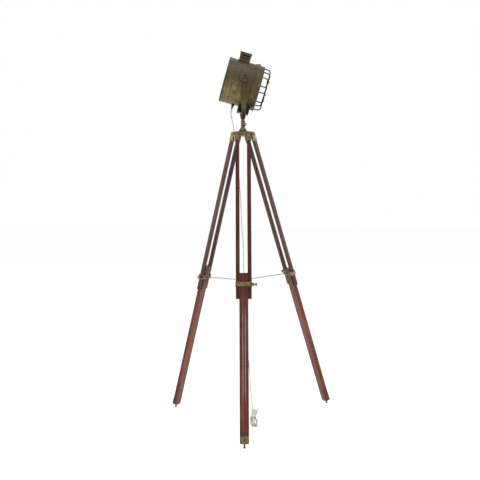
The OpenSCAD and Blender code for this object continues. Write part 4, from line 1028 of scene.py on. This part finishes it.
finish(clear_glass(), "door_glass")
finish(opal_glass(), "bulb")

# %% [markdown]
# ## Reflector, plastics and rubber
# The reflector was spun over a form on a lathe, and the tool left fine rings round its axis. The
# lampholder is black phenolic, the gland is rubber, the tie is nylon, and the cord and plug are
# ivory vinyl with a soft, waxy look: some light goes in and comes out again beside where it
# entered. The plug's pins are plated with nickel.

# %% Spun aluminium
def spun_aluminium():
    """Bright metal with rings round the drum's axis. A wave's rings are pi / (10 * scale) apart,
    which makes them 2 mm here, coarser than real tool marks so that they show."""
    made, tree = empty_material("spun aluminium")
    rings = add(tree, "ShaderNodeTexWave", {
        "Vector": on_drum(tree), "Scale": 160.0, "Distortion": 0.6, "Detail": 2.0,
    }, "Fac", wave_type="RINGS", rings_direction="Z")
    roughness = add(tree, "ShaderNodeMapRange", {"Value": rings, "To Min": 0.14, "To Max": 0.24})
    bump = add(tree, "ShaderNodeBump", {"Height": rings, "Strength": 0.1, "Distance": 0.1 * MM})
    shader = add(tree, "ShaderNodeBsdfPrincipled", {
        "Base Color": linear("#d6d7d8"), "Metallic": 1.0, "Roughness": roughness, "Normal": bump})
    add(tree, "ShaderNodeOutputMaterial", {"Surface": shader})
    return made


finish(spun_aluminium(), "reflector")

# %% Moulded plastics and rubber
def moulded(name, dark, light, roughness, relief=0.1, **more):
    """A moulded plastic or rubber: a faint cloudiness and a fine mould texture. More names other
    inputs of the surface, with an underscore for each space."""
    made, tree = empty_material(name)
    place = add(tree, "ShaderNodeTexCoord", output="Object")
    cloud = stretched(tree, place, 9, 9, detail=2)
    grain = stretched(tree, place, 1.2, 1.2, detail=1)
    both = add(tree, "ShaderNodeMix", {"Factor": 0.3, "A": cloud, "B": grain}, "Result")
    colour = add(tree, "ShaderNodeValToRGB", {0: both}, stops=((0.35, dark), (0.65, light)))
    dull = add(tree, "ShaderNodeMapRange", {
        "Value": cloud, "From Min": 0.3, "From Max": 0.7, "To Min": roughness - 0.05,
        "To Max": roughness + 0.05})
    bump = add(tree, "ShaderNodeBump", {"Height": grain, "Strength": relief, "Distance": 0.1 * MM})
    extra = {key.replace("_", " "): value for key, value in more.items()}
    shader = add(tree, "ShaderNodeBsdfPrincipled", {
        "Base Color": colour, "Roughness": dull, "Normal": bump, **extra})
    add(tree, "ShaderNodeOutputMaterial", {"Surface": shader})
    return made


shown.update(cord_upper=cord_upper, cord_drop=cord_lower, plug=plug_body, cord_gland=gland)
shown.update(pin_left=pins[0], pin_right=pins[1])
# extruded vinyl: milky, with light that seeps a few millimetres through it
vinyl = moulded("ivory vinyl lead", "#c0b69c", "#dcd4be", 0.38, Subsurface_Weight=0.3,
                Subsurface_Radius=(0.004, 0.003, 0.002))
# moulded in a polished tool, so the plug has a faint gloss that the lead hasn't
plug_vinyl = moulded("ivory vinyl plug", "#c9c0a9", "#e0d7c2", 0.4, Coat_Weight=0.2)
# rubber takes in most light and gives back a wide, weak sheen
rubber = moulded("black rubber", "#14120f", "#282420", 0.6, relief=0.3)
# phenolic is pressed hot and hard: brownish black, and smooth enough for a clear highlight
phenolic = moulded("black phenolic", "#15110e", "#2c2420", 0.25)
# nylon: between the two, a soft satin
nylon = moulded("black nylon tie", "#181614", "#2c2926", 0.5)
# plating: the brightest and smoothest metal on the lamp
pin_nickel = rubbed_metal("nickel plated pins", "#9c9a94", "#c4c2bc", "#dcdad4", 0.95, 0.24, 5)
finish(vinyl, "cord_upper", "cord_drop", "inner_lead")
finish(plug_vinyl, "plug")
finish(rubber, "cord_gland")
finish(phenolic, "lampholder")
finish(nylon, "hank_tie")
finish(pin_nickel, "pin_left", "pin_right")
